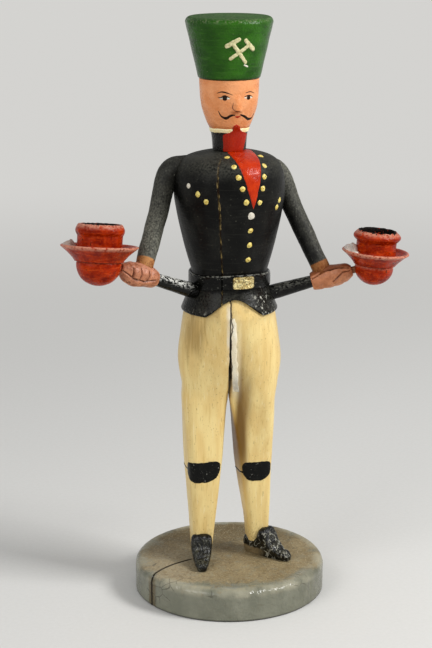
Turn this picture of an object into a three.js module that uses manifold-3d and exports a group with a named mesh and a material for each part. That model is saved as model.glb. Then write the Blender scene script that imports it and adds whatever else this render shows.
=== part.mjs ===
// Candle-bearing miner figurine: turned and carved wooden pieces, dowelled and glued together.
// Millimetres, +Z up, origin at the centre of the base's underside. The figure faces -Y,
// and "right" and "left" are the figure's own sides (right is -X).
import * as THREE from "three";
import { mergeVertices } from "three/addons/utils/BufferGeometryUtils.js";
import Module from "manifold-3d";

// Glue joint between two pieces, and the dowels that hold them
const GLUE_GAP = 0.3;
const FOOT_DOWEL_RADIUS = 2.6;
const FOOT_DOWEL_IN_BASE = 13;
const FOOT_DOWEL_IN_LEG = 22;
const HIP_DOWEL_RADIUS = 3;
const HIP_DOWEL_DEPTH = 16;
const HIP_DOWEL_SPREAD = 8.5;
const SHOULDER_DOWEL_RADIUS = 3;
const SHOULDER_DOWEL_IN_COAT = 18;
const SHOULDER_DOWEL_IN_SLEEVE = 5;
const NECK_DOWEL_RADIUS = 4;
const NECK_DOWEL_DEPTH = 15;
const HAT_DOWEL_RADIUS = 5;
const HAT_DOWEL_DEPTH = 11;

// Base
const BASE_RADIUS = 59.5;
const BASE_HEIGHT = 20;
const BASE_EDGE_RADIUS = 4.5;

// Shoes: lengths run from the ankle's centre, heights from the top of the base
const SHOE_TOE = 24.5;
const SHOE_HEEL = 8;
const SHOE_WIDTH = 15;
const SHOE_SOLE_SHARE = 0.62;
const SHOE_SEAT = 9;
const SHOE_RIM = 2.5;
const SHOE_TONGUE = 18;
const SHOE_TOE_HEIGHT = 4.6;
const TONGUE_THICKNESS = 1.6;
const TONGUE_ROUNDING = 0.6;
const RIGHT_TOE_OUT = 14;
const LEFT_TOE_OUT = 36;

// Trouser legs: heights run from the ankle; a spread is from the figure's axis to a leg's centre,
// and a lean shifts both legs sideways, toward the figure's left where it is positive
const LEG_LENGTH = 165.6;
const ANKLE_WIDTH = 12.6;
const ANKLE_SPREAD = 18.3;
const CALF_HEIGHT = 17;
const CALF_WIDTH = 15;
const CALF_DEPTH = 15.2;
const CALF_SPREAD = 17.8;
const KNEE_HEIGHT = 49;
const KNEE_WIDTH = 20.6;
const KNEE_DEPTH = 20.4;
const KNEE_SPREAD = 16.4;
const KNEE_LEAN = -0.9;
const THIGH_HEIGHT = 96;
const THIGH_WIDTH = 28.4;
const THIGH_DEPTH = 31;
const THIGH_SPREAD = 14.6;
const THIGH_LEAN = -0.9;
const CROTCH_HEIGHT = 105;
const CROTCH_RADIUS = 29.3;
const CROTCH_DEPTH = 35;
const CROTCH_ROUNDNESS = 0.3;
const HIP_HEIGHT = 121.5;
const HIP_RADIUS = 31.6;
const HIP_DEPTH = 44;
const HIP_ROUNDNESS = 0.75;
const HIP_TWIST = -14;
const FILLER_TOP_WIDTH = 0.9;
const FILLER_FOOT_WIDTH = 4.6;
const FILLER_BACK = 14;
const SQUARENESS = 4.2;

// Coat: heights run from the ledge inside the skirt that the trousers meet
const SKIRT_LENGTH = 13.5;
const SKIRT_WALL = 1.6;
const HEM_RADIUS = 29.8;
const SKIRT_TOP_RADIUS = 24.2;
const NOTCH_RISE = 10.5;
const NOTCH_HALF_ANGLE = 38;
const NOTCH_TURN = -8;
const WAIST_RADIUS = 23.3;
const RIB_RADIUS = 28.6;
const RIB_HEIGHT = 31.5;
const CHEST_RADIUS = 33.6;
const CHEST_HEIGHT = 60.5;
const SHOULDER_RADIUS = 28.6;
const SHOULDER_HEIGHT = 78;
const NECK_SEAT_RADIUS = 9.5;
const COAT_HEIGHT = 84;

// Belt and buckle
const BELT_LIFT = 2.9;
const BELT_HEIGHT = 9;
const BELT_THICKNESS = 1.3;
const BUCKLE_WIDTH = 13;
const BUCKLE_HEIGHT = 7.2;
const BUCKLE_THICKNESS = 1.2;
const BUCKLE_TURN = 4;
const BUCKLE_BEVEL = 0.25;

// Sleeves: the shoulder's place is from the figure's axis and from the top of the coat
const RIGHT_ARM_SPREAD = 34;
const LEFT_ARM_SPREAD = 32.4;
const ARM_BACK = 9;
const RIGHT_ARM_DROP = 13.8;
const LEFT_ARM_DROP = 17;
const ARM_ROOT_REACH = 13;
const ARM_ROOT_RISE = 2;
const ARM_TOP_RADIUS = 8;
const ELBOW_RADIUS = 6;
const CUFF_RADIUS = 5.5;
const RIGHT_ELBOW_SPREAD = 44.5;
const LEFT_ELBOW_SPREAD = 40.2;
const ELBOW_DROP = 37.5;
const ELBOW_FORWARD = 0.5;
const RIGHT_CUFF_REACH = 61.5;
const LEFT_CUFF_REACH = 58.5;

// Rods: a reach is level, from the figure's axis; the crossing is where the rods' lines meet it
const ROD_FORWARD = 17;
const RIGHT_ROD_RISE = 21.5;
const LEFT_ROD_RISE = 16;
const RIGHT_ROD_CROSSING_DROP = 9.8;
const LEFT_ROD_CROSSING_DROP = 11.3;
const ROD_RADIUS = 4.6;
const ROD_WRIST_RADIUS = 3.7;
const HIP_TENON_RADIUS = 3;
const HIP_TENON_START = 16;
const HIP_TENON_END = 32;
const CUP_TENON_RADIUS = 2.2;
const CUP_TENON_DEPTH = 4;

// Hands
const RIGHT_HAND_START = 52.5;
const LEFT_HAND_START = 50.2;
const HAND_LENGTH = 25.5;
const HAND_THICKNESS = 12.6;
const KNUCKLE_HEIGHT = 0.5;
const THUMB_HEIGHT = 0.7;
const HAND_END_THICKNESS = 9.8;
const FIST_ROUNDING_START = 0.7;
const FIST_ROUNDING = 0.6;
const FINGERS = 4;

// Candle cups: heights run from the saucer's rim, along the cup's own axis
const RIGHT_CUP_REACH = 90.3;
const LEFT_CUP_REACH = 88;
const ROD_HOLE_DROP = 3;
const RIGHT_SAUCER_RADIUS = 22.75;
const LEFT_SAUCER_RADIUS = 20.35;
const RIGHT_SAUCER_DEPTH = 9.4;
const LEFT_SAUCER_DEPTH = 8.4;
const SAUCER_FLARE = 0.8;
const SAUCER_LIP = 1.1;
const DISH_DEPTH = 2.4;
const RIGHT_BOWL_RADIUS = 13.1;
const LEFT_BOWL_RADIUS = 11.7;
const RIGHT_BOWL_DEPTH = 14;
const LEFT_BOWL_DEPTH = 12.6;
const BOWL_RIM = 2;
const SAUCER_FOOT_LEDGE = 1.1;
const RIGHT_SOCKET_NECK = 13.2;
const LEFT_SOCKET_NECK = 12.1;
const SOCKET_RING_RADIUS = 14.4;
const SOCKET_RING_HEIGHT = 6.6;
const SOCKET_HEIGHT = 14.4;
const SOCKET_FOOT_FLARE = 0.5;
const SOCKET_FOOT_HEIGHT = 2.5;
const SOCKET_BEVEL = 0.5;
const CANDLE_BORE_RADIUS = 10.5;
const CANDLE_BORE_DEPTH = 12.5;
const BORE_BEVEL = 0.5;
const SPIGOT_RADIUS = 4;
const SPIGOT_IN_BOWL = 4.5;
const RIGHT_CUP_LEAN = [5, 7.6];
const LEFT_CUP_LEAN = [5, 0.5];

// Head and hat
const NECK_RADIUS = 10;
const COLLAR_RADIUS = 11;
const COLLAR_HEIGHT = 10.5;
const JAW_RADIUS = 13.9;
const JAW_HEIGHT = 17.6;
const CHEEK_RADIUS = 16.9;
const CHEEK_HEIGHT = 27.5;
const BROW_RADIUS = 17.9;
const HEAD_HEIGHT = 42.4;
const NOSE_HEIGHT = 2.4;
const NOSE_TIP = 25;
const NOSE_LENGTH = 9;
const NOSE_HALF_WIDTH = 2.6;
const HAT_HEIGHT = 36.6;
const HAT_BRIM_RADIUS = 18.6;
const HAT_BRIM_BEVEL = 0.5;
const HAT_TOP_RADIUS = 26;
const HAT_EDGE_RADIUS = 3.2;
const HAT_CROWN = 0.8;

// Facets
const ROUND_SEGMENTS = 36;
const CUP_SEGMENTS = 24;
const SAUCER_SEGMENTS = 30;
const ROD_SEGMENTS = 16;
const DOWEL_SEGMENTS = 12;
const EDGE_STEPS = 5;
const CHEST_ROWS = 13;
const HEAD_ROWS = 14;
const ARM_ROWS = 12;
const ARM_SEGMENTS = 14;
const SHOE_SEGMENTS = 16;

const wasm = await Module();
wasm.setup();
const radians = THREE.MathUtils.degToRad;
const { lerp, smoothstep } = THREE.MathUtils;

// Levels, from the table up
const shoeZ = BASE_HEIGHT + GLUE_GAP;
const ankleZ = shoeZ + SHOE_SEAT + GLUE_GAP;
const crotchZ = ankleZ + CROTCH_HEIGHT;
const legTopZ = ankleZ + LEG_LENGTH;
const waistZ = legTopZ + GLUE_GAP;
const hemZ = waistZ - SKIRT_LENGTH;
const beltZ = waistZ + BELT_LIFT;
const neckZ = waistZ + COAT_HEIGHT;
const headZ = neckZ + GLUE_GAP;
const hatZ = headZ + HEAD_HEIGHT + GLUE_GAP;
const beltInner = WAIST_RADIUS + GLUE_GAP;
const beltOuter = beltInner + BELT_THICKNESS;

// What differs between the two hand-made sides
const right = {
  name: "right",
  sign: -1,
  toeOut: RIGHT_TOE_OUT,
  armSpread: RIGHT_ARM_SPREAD,
  armDrop: RIGHT_ARM_DROP,
  elbowSpread: RIGHT_ELBOW_SPREAD,
  cuffReach: RIGHT_CUFF_REACH,
  rodZ: waistZ - RIGHT_ROD_CROSSING_DROP,
  rodRise: radians(RIGHT_ROD_RISE),
  handStart: RIGHT_HAND_START,
  cupReach: RIGHT_CUP_REACH,
  saucerRadius: RIGHT_SAUCER_RADIUS,
  saucerDepth: RIGHT_SAUCER_DEPTH,
  bowlRadius: RIGHT_BOWL_RADIUS,
  bowlDepth: RIGHT_BOWL_DEPTH,
  socketNeck: RIGHT_SOCKET_NECK,
  cupLean: RIGHT_CUP_LEAN,
};
const left = {
  name: "left",
  sign: 1,
  toeOut: LEFT_TOE_OUT,
  armSpread: LEFT_ARM_SPREAD,
  armDrop: LEFT_ARM_DROP,
  elbowSpread: LEFT_ELBOW_SPREAD,
  cuffReach: LEFT_CUFF_REACH,
  rodZ: waistZ - LEFT_ROD_CROSSING_DROP,
  rodRise: radians(LEFT_ROD_RISE),
  handStart: LEFT_HAND_START,
  cupReach: LEFT_CUP_REACH,
  saucerRadius: LEFT_SAUCER_RADIUS,
  saucerDepth: LEFT_SAUCER_DEPTH,
  bowlRadius: LEFT_BOWL_RADIUS,
  bowlDepth: LEFT_BOWL_DEPTH,
  socketNeck: LEFT_SOCKET_NECK,
  cupLean: LEFT_CUP_LEAN,
};
const sides = [right, left];

// Solids: a turned profile, a skin over closed rings, and cuts and joins between them
function turned(profile, segments) {
  const points = profile.map(([radius, height]) => new THREE.Vector2(radius, height));
  return new THREE.LatheGeometry(points, segments).rotateX(Math.PI / 2);
}

function skin(rings) {
  const count = rings[0].length;
  const centre = (ring) => ring.reduce((sum, p) => sum.add(p), new THREE.Vector3()).divideScalar(count);
  const points = [...rings.flat(), centre(rings[0]), centre(rings.at(-1))];
  const lowCentre = points.length - 2;
  const highCentre = points.length - 1;
  const lastRing = (rings.length - 1) * count;
  const faces = [];
  for (let i = 0; i < count; i += 1) {
    const next = (i + 1) % count;
    for (let row = 0; row < lastRing; row += count) {
      faces.push(row + i, row + next, row + count + next);
      faces.push(row + i, row + count + next, row + count + i);
    }
    faces.push(lowCentre, next, i);
    faces.push(highCentre, lastRing + i, lastRing + next);
  }
  const geometry = new THREE.BufferGeometry().setFromPoints(points);
  geometry.setIndex(faces);
  geometry.computeVertexNormals();
  return geometry;
}

function solidOf(geometry) {
  const bare = geometry.clone();
  bare.deleteAttribute("normal");
  bare.deleteAttribute("uv");
  const merged = mergeVertices(bare);
  const vertProperties = new Float32Array(merged.attributes.position.array);
  const triVerts = new Uint32Array(merged.index.array);
  return new wasm.Manifold(new wasm.Mesh({ numProp: 3, vertProperties, triVerts }));
}

function geometryOf(solid) {
  const mesh = solid.getMesh();
  const geometry = new THREE.BufferGeometry();
  geometry.setAttribute("position", new THREE.BufferAttribute(mesh.vertProperties, 3));
  geometry.setIndex(new THREE.BufferAttribute(mesh.triVerts, 1));
  geometry.computeVertexNormals();
  return geometry;
}

function cut(body, ...tools) {
  return geometryOf(tools.reduce((solid, tool) => solid.subtract(solidOf(tool)), solidOf(body)));
}

function join(first, second) {
  return geometryOf(solidOf(first).add(solidOf(second)));
}

function common(first, second) {
  return geometryOf(solidOf(first).intersect(solidOf(second)));
}

// A dowel between two heights on its own axis, grown by the gap where it drills its hole
function dowel(radius, low, high, growth = 0) {
  const outer = radius + growth;
  const profile = [[0, low - growth], [outer, low - growth], [outer, high + growth], [0, high + growth]];
  return turned(profile, DOWEL_SEGMENTS);
}

const wood = {
  bare: new THREE.MeshStandardMaterial({ color: 0xb98f5c, roughness: 0.75 }),
  stone: new THREE.MeshStandardMaterial({ color: 0x8f8a80, roughness: 0.6 }),
  shoe: new THREE.MeshStandardMaterial({ color: 0x1b1b1d, roughness: 0.3 }),
  trousers: new THREE.MeshStandardMaterial({ color: 0xd9b876, roughness: 0.5 }),
  filler: new THREE.MeshStandardMaterial({ color: 0xe4ddd0, roughness: 0.8 }),
  coat: new THREE.MeshStandardMaterial({ color: 0x24252a, roughness: 0.6 }),
  belt: new THREE.MeshStandardMaterial({ color: 0x1c1c1f, roughness: 0.35 }),
  gold: new THREE.MeshStandardMaterial({ color: 0xc9a45a, roughness: 0.45, metalness: 0.3 }),
  hand: new THREE.MeshStandardMaterial({ color: 0xb5685a, roughness: 0.55 }),
  cup: new THREE.MeshStandardMaterial({ color: 0xb5291c, roughness: 0.4 }),
  face: new THREE.MeshStandardMaterial({ color: 0xcf8f78, roughness: 0.5 }),
  hat: new THREE.MeshStandardMaterial({ color: 0x2c6b2b, roughness: 0.45 }),
};

const figurine = new THREE.Group();

function add(name, geometry, material, parent = figurine) {
  const mesh = new THREE.Mesh(geometry, material);
  mesh.name = name;
  parent.add(mesh);
  return mesh;
}

// Base: a turned disc with a rounded top edge and a blind hole for each foot dowel
const ankle = (side) => new THREE.Vector3(side.sign * ANKLE_SPREAD, 0, 0);

function footDowel(side, growth) {
  const low = BASE_HEIGHT - FOOT_DOWEL_IN_BASE;
  const bar = dowel(FOOT_DOWEL_RADIUS, low, ankleZ + FOOT_DOWEL_IN_LEG, growth);
  return bar.translate(...ankle(side).toArray());
}

function baseDisc() {
  const profile = [[0, 0], [BASE_RADIUS, 0]];
  for (let i = 0; i <= EDGE_STEPS; i += 1) {
    const angle = (i / EDGE_STEPS) * (Math.PI / 2);
    const inset = BASE_EDGE_RADIUS * (1 - Math.cos(angle));
    const rise = BASE_EDGE_RADIUS * (1 - Math.sin(angle));
    profile.push([BASE_RADIUS - inset, BASE_HEIGHT - rise]);
  }
  profile.push([0, BASE_HEIGHT]);
  return cut(turned(profile, ROUND_SEGMENTS), ...sides.map((side) => footDowel(side, GLUE_GAP)));
}

add("base_disc", baseDisc(), wood.stone);

// Skirt: the cone that the trousers' top fills and the coat's hem follows
function skirtRadius(z) {
  return lerp(HEM_RADIUS, SKIRT_TOP_RADIUS, (z - hemZ) / SKIRT_LENGTH);
}

// Trouser legs: a squarish lower leg that turns into half of a round hip above the crotch.
// The hips are twisted a little to the figure's right, and the legs below them lean that way.
function legStations() {
  const leg = (height, width, depth, spread, lean) => ({
    height,
    outer: spread + width / 2,
    inner: spread - width / 2,
    depth: depth / 2,
    lean,
    roundness: 0,
  });
  const hip = (height, outer, depth, roundness) => ({
    height,
    outer,
    inner: GLUE_GAP / 2,
    depth: depth / 2,
    lean: 0,
    roundness,
  });
  const hemRadius = skirtRadius(hemZ) - SKIRT_WALL - GLUE_GAP;
  const topRadius = skirtRadius(waistZ) - SKIRT_WALL - GLUE_GAP;
  return [
    leg(0, ANKLE_WIDTH, ANKLE_WIDTH, ANKLE_SPREAD, 0),
    leg(CALF_HEIGHT, CALF_WIDTH, CALF_DEPTH, CALF_SPREAD, 0),
    leg(KNEE_HEIGHT, KNEE_WIDTH, KNEE_DEPTH, KNEE_SPREAD, KNEE_LEAN),
    leg(THIGH_HEIGHT, THIGH_WIDTH, THIGH_DEPTH, THIGH_SPREAD, THIGH_LEAN),
    hip(CROTCH_HEIGHT, CROTCH_RADIUS, CROTCH_DEPTH, CROTCH_ROUNDNESS),
    hip(HIP_HEIGHT, HIP_RADIUS, HIP_DEPTH, HIP_ROUNDNESS),
    hip(hemZ - ankleZ, hemRadius, 2 * hemRadius, 1),
    hip(LEG_LENGTH, topRadius, 2 * topRadius, 1),
  ];
}

const power = (value, exponent) => Math.sign(value) * Math.abs(value) ** exponent;

// One section: its outer three quarters first, then the side that faces the other leg
function legRing(side, station, growth) {
  const arcPoints = 15;
  const seamPoints = 5;
  const centre = (station.outer + station.inner) / 2;
  const halfWidth = (station.outer - station.inner) / 2 + growth;
  const halfDepth = station.depth + growth;
  const twist = radians(HIP_TWIST) * smoothstep(station.height, KNEE_HEIGHT, CROTCH_HEIGHT);
  const points = [];
  for (let i = 0; i < arcPoints + seamPoints; i += 1) {
    const onArc = i < arcPoints;
    const share = onArc ? i / (arcPoints - 1) : (i - arcPoints + 1) / (seamPoints + 1);
    const half = (share - 0.5) * Math.PI;
    const around = onArc ? half * 1.5 : (share + 1.5) * (Math.PI / 2);
    const square = new THREE.Vector2(
      centre + halfWidth * power(Math.cos(around), 2 / SQUARENESS),
      halfDepth * power(Math.sin(around), 2 / SQUARENESS),
    );
    const inner = station.inner - growth;
    const bow = onArc ? Math.cos(half) * (station.outer + growth - inner) : 0;
    const round = new THREE.Vector2(inner + bow, halfDepth * (onArc ? Math.sin(half) : 1 - 2 * share));
    const flat = square.lerp(round, station.roundness);
    flat.x = side.sign * flat.x + station.lean;
    flat.rotateAround(new THREE.Vector2(), twist);
    points.push(new THREE.Vector3(flat.x, flat.y, ankleZ + station.height));
  }
  return side.sign > 0 ? points : points.reverse();
}

// Sections between the named stations lie on a smooth curve, up to the hem's cone above it
function legSections() {
  const stations = legStations();
  const top = stations.pop();
  const perSpan = 2;
  const places = stations.map((s) => new THREE.Vector3(s.outer, s.depth, s.height));
  const curve = new THREE.CatmullRomCurve3(places);
  const sections = curve.getPoints(perSpan * (stations.length - 1)).map((place, i) => {
    const below = stations[Math.floor(i / perSpan)];
    const above = stations[Math.ceil(i / perSpan)];
    const t = (i % perSpan) / perSpan;
    return {
      height: place.z,
      outer: place.x,
      depth: place.y,
      inner: lerp(below.inner, above.inner, t),
      lean: lerp(below.lean, above.lean, t),
      roundness: lerp(below.roundness, above.roundness, t),
    };
  });
  return [...sections, top];
}

function legBlank(side, growth) {
  const sections = legSections();
  sections[0].height -= growth;
  return skin(sections.map((section) => legRing(side, section, growth)));
}

// Seam filler: a pale wedge let into the front of the left half, wider at the crotch
function fillerBlank(growth) {
  const start = GLUE_GAP / 2;
  const low = crotchZ - growth;
  const high = legTopZ + growth;
  const outline = new THREE.Shape();
  outline.moveTo(start - GLUE_GAP - growth, low);
  outline.lineTo(start + FILLER_FOOT_WIDTH + growth, low);
  outline.lineTo(start + FILLER_TOP_WIDTH + growth, high);
  outline.lineTo(start - GLUE_GAP - growth, high);
  const depth = 2 * HIP_RADIUS;
  const slab = new THREE.ExtrudeGeometry(outline, { depth, bevelEnabled: false });
  slab.rotateX(Math.PI / 2);
  slab.translate(0, -FILLER_BACK + growth, 0);
  return slab.rotateZ(radians(HIP_TWIST));
}

// Shoes: a heel under the leg, a tongue in front of it and a tapered toe
function shoeRing(forward, halfWidth, height) {
  const points = [];
  for (let i = 0; i < SHOE_SEGMENTS; i += 1) {
    const angle = (2 * Math.PI * i) / SHOE_SEGMENTS;
    const share = Math.sin(angle) > 0 ? Math.sin(angle) ** (2 / SQUARENESS) : 0;
    const width = halfWidth * lerp(SHOE_SOLE_SHARE, 1, share);
    const across = width * power(Math.cos(angle), 2 / SQUARENESS);
    points.push(new THREE.Vector3(across, -forward, height * share));
  }
  return points;
}

function shoe(side) {
  const half = SHOE_WIDTH / 2;
  const heelTop = SHOE_SEAT + SHOE_RIM;
  const tongueAt = ANKLE_WIDTH / 2 + TONGUE_THICKNESS;
  const vamp = SHOE_TOE - tongueAt;
  const rings = [
    shoeRing(-SHOE_HEEL, half * 0.55, heelTop * 0.75),
    shoeRing(-SHOE_HEEL * 0.8, half * 0.82, heelTop * 0.95),
    shoeRing(-SHOE_HEEL * 0.3, half * 0.97, heelTop),
    shoeRing(tongueAt * 0.5, half, heelTop + TONGUE_ROUNDING),
    shoeRing(tongueAt * 0.8, half, SHOE_TONGUE),
    shoeRing(tongueAt + vamp * 0.1, half * 0.96, SHOE_TONGUE - TONGUE_ROUNDING),
    shoeRing(tongueAt + vamp * 0.35, half * 0.86, lerp(SHOE_TONGUE, SHOE_TOE_HEIGHT, 0.58)),
    shoeRing(tongueAt + vamp * 0.65, half * 0.66, lerp(SHOE_TONGUE, SHOE_TOE_HEIGHT, 0.9)),
    shoeRing(tongueAt + vamp * 0.9, half * 0.56, SHOE_TOE_HEIGHT),
    shoeRing(SHOE_TOE, half * 0.38, SHOE_TOE_HEIGHT * 0.55),
  ];
  const blank = skin(rings).rotateZ(side.sign * radians(side.toeOut));
  const place = ankle(side).setZ(shoeZ);
  return cut(blank.translate(...place.toArray()), legBlank(side, GLUE_GAP), footDowel(side, GLUE_GAP));
}

// Rods: each lies on a line that leaves the figure's axis forward and upward
function rodMatrix(side) {
  const level = Math.cos(side.rodRise);
  const forward = radians(ROD_FORWARD);
  const direction = new THREE.Vector3(
    side.sign * Math.cos(forward) * level,
    -Math.sin(forward) * level,
    Math.sin(side.rodRise),
  );
  const across = new THREE.Vector3(0, 0, 1).cross(direction).normalize();
  const upward = new THREE.Vector3().crossVectors(direction, across);
  const matrix = new THREE.Matrix4().makeBasis(across, upward, direction);
  return matrix.setPosition(0, 0, side.rodZ);
}

const along = (side, reach) => reach / Math.cos(side.rodRise);

function hipTenon(side, growth) {
  const bar = dowel(HIP_TENON_RADIUS, along(side, HIP_TENON_START), along(side, HIP_TENON_END), growth);
  return bar.applyMatrix4(rodMatrix(side));
}

function cupTenonEnd(side) {
  return along(side, side.cupReach - side.bowlRadius + CUP_TENON_DEPTH);
}

function cupTenon(side, growth) {
  const start = along(side, side.handStart) + HAND_LENGTH / 2;
  return dowel(CUP_TENON_RADIUS, start, cupTenonEnd(side), growth).applyMatrix4(rodMatrix(side));
}

function rodBlank(side, growth) {
  const wristAt = along(side, side.handStart);
  const shoulderAt = wristAt + HAND_LENGTH * FIST_ROUNDING_START;
  const tenon = CUP_TENON_RADIUS + growth;
  const end = cupTenonEnd(side);
  const profile = [
    [0, along(side, HIP_TENON_START) + GLUE_GAP],
    [ROD_RADIUS + growth, along(side, HIP_TENON_START) + GLUE_GAP],
    [ROD_RADIUS + growth, along(side, HEM_RADIUS)],
    [ROD_WRIST_RADIUS + growth, wristAt],
    [ROD_WRIST_RADIUS + growth, shoulderAt],
    [tenon, shoulderAt + growth],
    [tenon, end],
    [0, end],
  ];
  return turned(profile, ROD_SEGMENTS).applyMatrix4(rodMatrix(side));
}

// Coat: a hollow skirt with a cut-away front, a belt seat and a turned chest in one piece
function chestProfile(growth) {
  const points = [
    [WAIST_RADIUS, BELT_LIFT + BELT_HEIGHT],
    [RIB_RADIUS, RIB_HEIGHT],
    [CHEST_RADIUS, CHEST_HEIGHT],
    [SHOULDER_RADIUS, SHOULDER_HEIGHT],
    [NECK_SEAT_RADIUS, COAT_HEIGHT],
  ].map(([radius, height]) => new THREE.Vector2(radius, height));
  const rows = new THREE.SplineCurve(points).getPoints(CHEST_ROWS);
  return rows.map((p) => [p.x + growth, waistZ + p.y + (growth * p.y) / COAT_HEIGHT]);
}

// The outside of the coat and belt grown by the glue gap, for what is fitted against it
function coatEnvelope() {
  const band = beltOuter + GLUE_GAP;
  const profile = [[0, hemZ - GLUE_GAP], [skirtRadius(hemZ) + GLUE_GAP, hemZ - GLUE_GAP]];
  profile.push([skirtRadius(waistZ) + GLUE_GAP, waistZ], [band, beltZ]);
  profile.push([band, beltZ + BELT_HEIGHT + GLUE_GAP]);
  const chest = chestProfile(GLUE_GAP).slice(1);
  profile.push(...chest, [0, chest.at(-1)[1]]);
  return turned(profile, ROUND_SEGMENTS);
}

// Height of the hem at an angle from the front, positive toward the figure's left
function hemHeight(angle) {
  const turn = Math.atan2(Math.sin(angle - radians(NOTCH_TURN)), Math.cos(angle - radians(NOTCH_TURN)));
  const share = Math.max(0, 1 - Math.abs(turn) / radians(NOTCH_HALF_ANGLE));
  return hemZ + NOTCH_RISE * Math.sin((share * Math.PI) / 2) ** 1.3;
}

function coat() {
  const ring = (place) => {
    const points = [];
    for (let i = 0; i < ROUND_SEGMENTS; i += 1) {
      const angle = (2 * Math.PI * i) / ROUND_SEGMENTS;
      const [radius, z] = place(hemHeight(angle));
      points.push(new THREE.Vector3(radius * Math.sin(angle), -radius * Math.cos(angle), z));
    }
    return points;
  };
  const rings = [
    ring(() => [skirtRadius(waistZ) - SKIRT_WALL, waistZ]),
    ring((hem) => [skirtRadius(hem) - SKIRT_WALL, hem]),
    ring((hem) => [skirtRadius(hem), hem]),
    ring(() => [skirtRadius(waistZ), waistZ]),
    ring(() => [WAIST_RADIUS, beltZ]),
    ...chestProfile(0).map((row) => ring(() => row)),
  ];
  const tools = sides.flatMap((side) => [
    hipDowel(side, GLUE_GAP),
    hipTenon(side, GLUE_GAP),
    shoulderDowel(side, GLUE_GAP),
  ]);
  return cut(skin(rings), ...tools, neckDowel(GLUE_GAP));
}

function hipDowel(side, growth) {
  const bar = dowel(HIP_DOWEL_RADIUS, legTopZ - HIP_DOWEL_DEPTH, waistZ + HIP_DOWEL_DEPTH, growth);
  return bar.translate(side.sign * HIP_DOWEL_SPREAD, 0, 0);
}

function shoulderPoint(side) {
  return new THREE.Vector3(side.sign * side.armSpread, ARM_BACK, neckZ - side.armDrop);
}

function shoulderDowel(side, growth) {
  const bar = dowel(SHOULDER_DOWEL_RADIUS, -SHOULDER_DOWEL_IN_COAT, SHOULDER_DOWEL_IN_SLEEVE, growth);
  bar.rotateY((side.sign * Math.PI) / 2);
  return bar.translate(...shoulderPoint(side).toArray());
}

function neckDowel(growth) {
  return dowel(NECK_DOWEL_RADIUS, neckZ - NECK_DOWEL_DEPTH, headZ + NECK_DOWEL_DEPTH, growth);
}

function hatDowel(growth) {
  return dowel(HAT_DOWEL_RADIUS, hatZ - GLUE_GAP - HAT_DOWEL_DEPTH, hatZ + HAT_DOWEL_DEPTH, growth);
}

const leftBlank = legBlank(left, 0);
const legHoles = (side) => [
  footDowel(side, GLUE_GAP),
  hipDowel(side, GLUE_GAP),
  hipTenon(side, GLUE_GAP),
];
add("right_leg", cut(legBlank(right, 0), ...legHoles(right)), wood.trousers);
add("left_leg", cut(leftBlank, fillerBlank(GLUE_GAP), ...legHoles(left)), wood.trousers);
add("seam_filler", common(leftBlank, fillerBlank(0)), wood.filler);
add("coat", coat(), wood.coat);
for (const side of sides) {
  add(`${side.name}_shoe`, shoe(side), wood.shoe);
  add(`${side.name}_foot_dowel`, footDowel(side, 0), wood.bare);
  add(`${side.name}_hip_dowel`, hipDowel(side, 0), wood.bare);
  add(`${side.name}_shoulder_dowel`, shoulderDowel(side, 0), wood.bare);
}
add("neck_dowel", neckDowel(0), wood.bare);
add("hat_dowel", hatDowel(0), wood.bare);

// Belt: a rounded band on the coat's waist, with a thin plate as its buckle
function belt() {
  const edge = BELT_THICKNESS / 2;
  const profile = [
    [beltInner, beltZ + GLUE_GAP],
    [beltOuter - edge, beltZ + GLUE_GAP],
    [beltOuter, beltZ + GLUE_GAP + edge],
    [beltOuter, beltZ + BELT_HEIGHT - edge],
    [beltOuter - edge, beltZ + BELT_HEIGHT],
    [beltInner, beltZ + BELT_HEIGHT],
    [beltInner, beltZ + GLUE_GAP],
  ];
  return turned(profile, ROUND_SEGMENTS);
}

function buckle() {
  const inner = beltOuter + GLUE_GAP;
  const halfAngle = BUCKLE_WIDTH / 2 / inner;
  const middle = beltZ + BELT_HEIGHT / 2;
  const steps = 8;
  const rings = [];
  for (let i = 0; i <= steps; i += 1) {
    const share = (2 * i) / steps - 1;
    const angle = radians(BUCKLE_TURN) + share * halfAngle;
    const outer = inner + BUCKLE_THICKNESS * (Math.abs(share) === 1 ? 0.6 : 1);
    const half = (BUCKLE_HEIGHT / 2) * (Math.abs(share) === 1 ? 0.92 : 1);
    const flat = half - BUCKLE_BEVEL;
    const section = [[inner, -half], [outer, -flat], [outer, flat], [inner, half]];
    rings.push(section.map(([radius, up]) => new THREE.Vector3(
      radius * Math.sin(angle),
      -radius * Math.cos(angle),
      middle + up,
    )).reverse());
  }
  return skin(rings);
}

add("belt", belt(), wood.belt);
add("buckle", buckle(), wood.gold);

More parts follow.
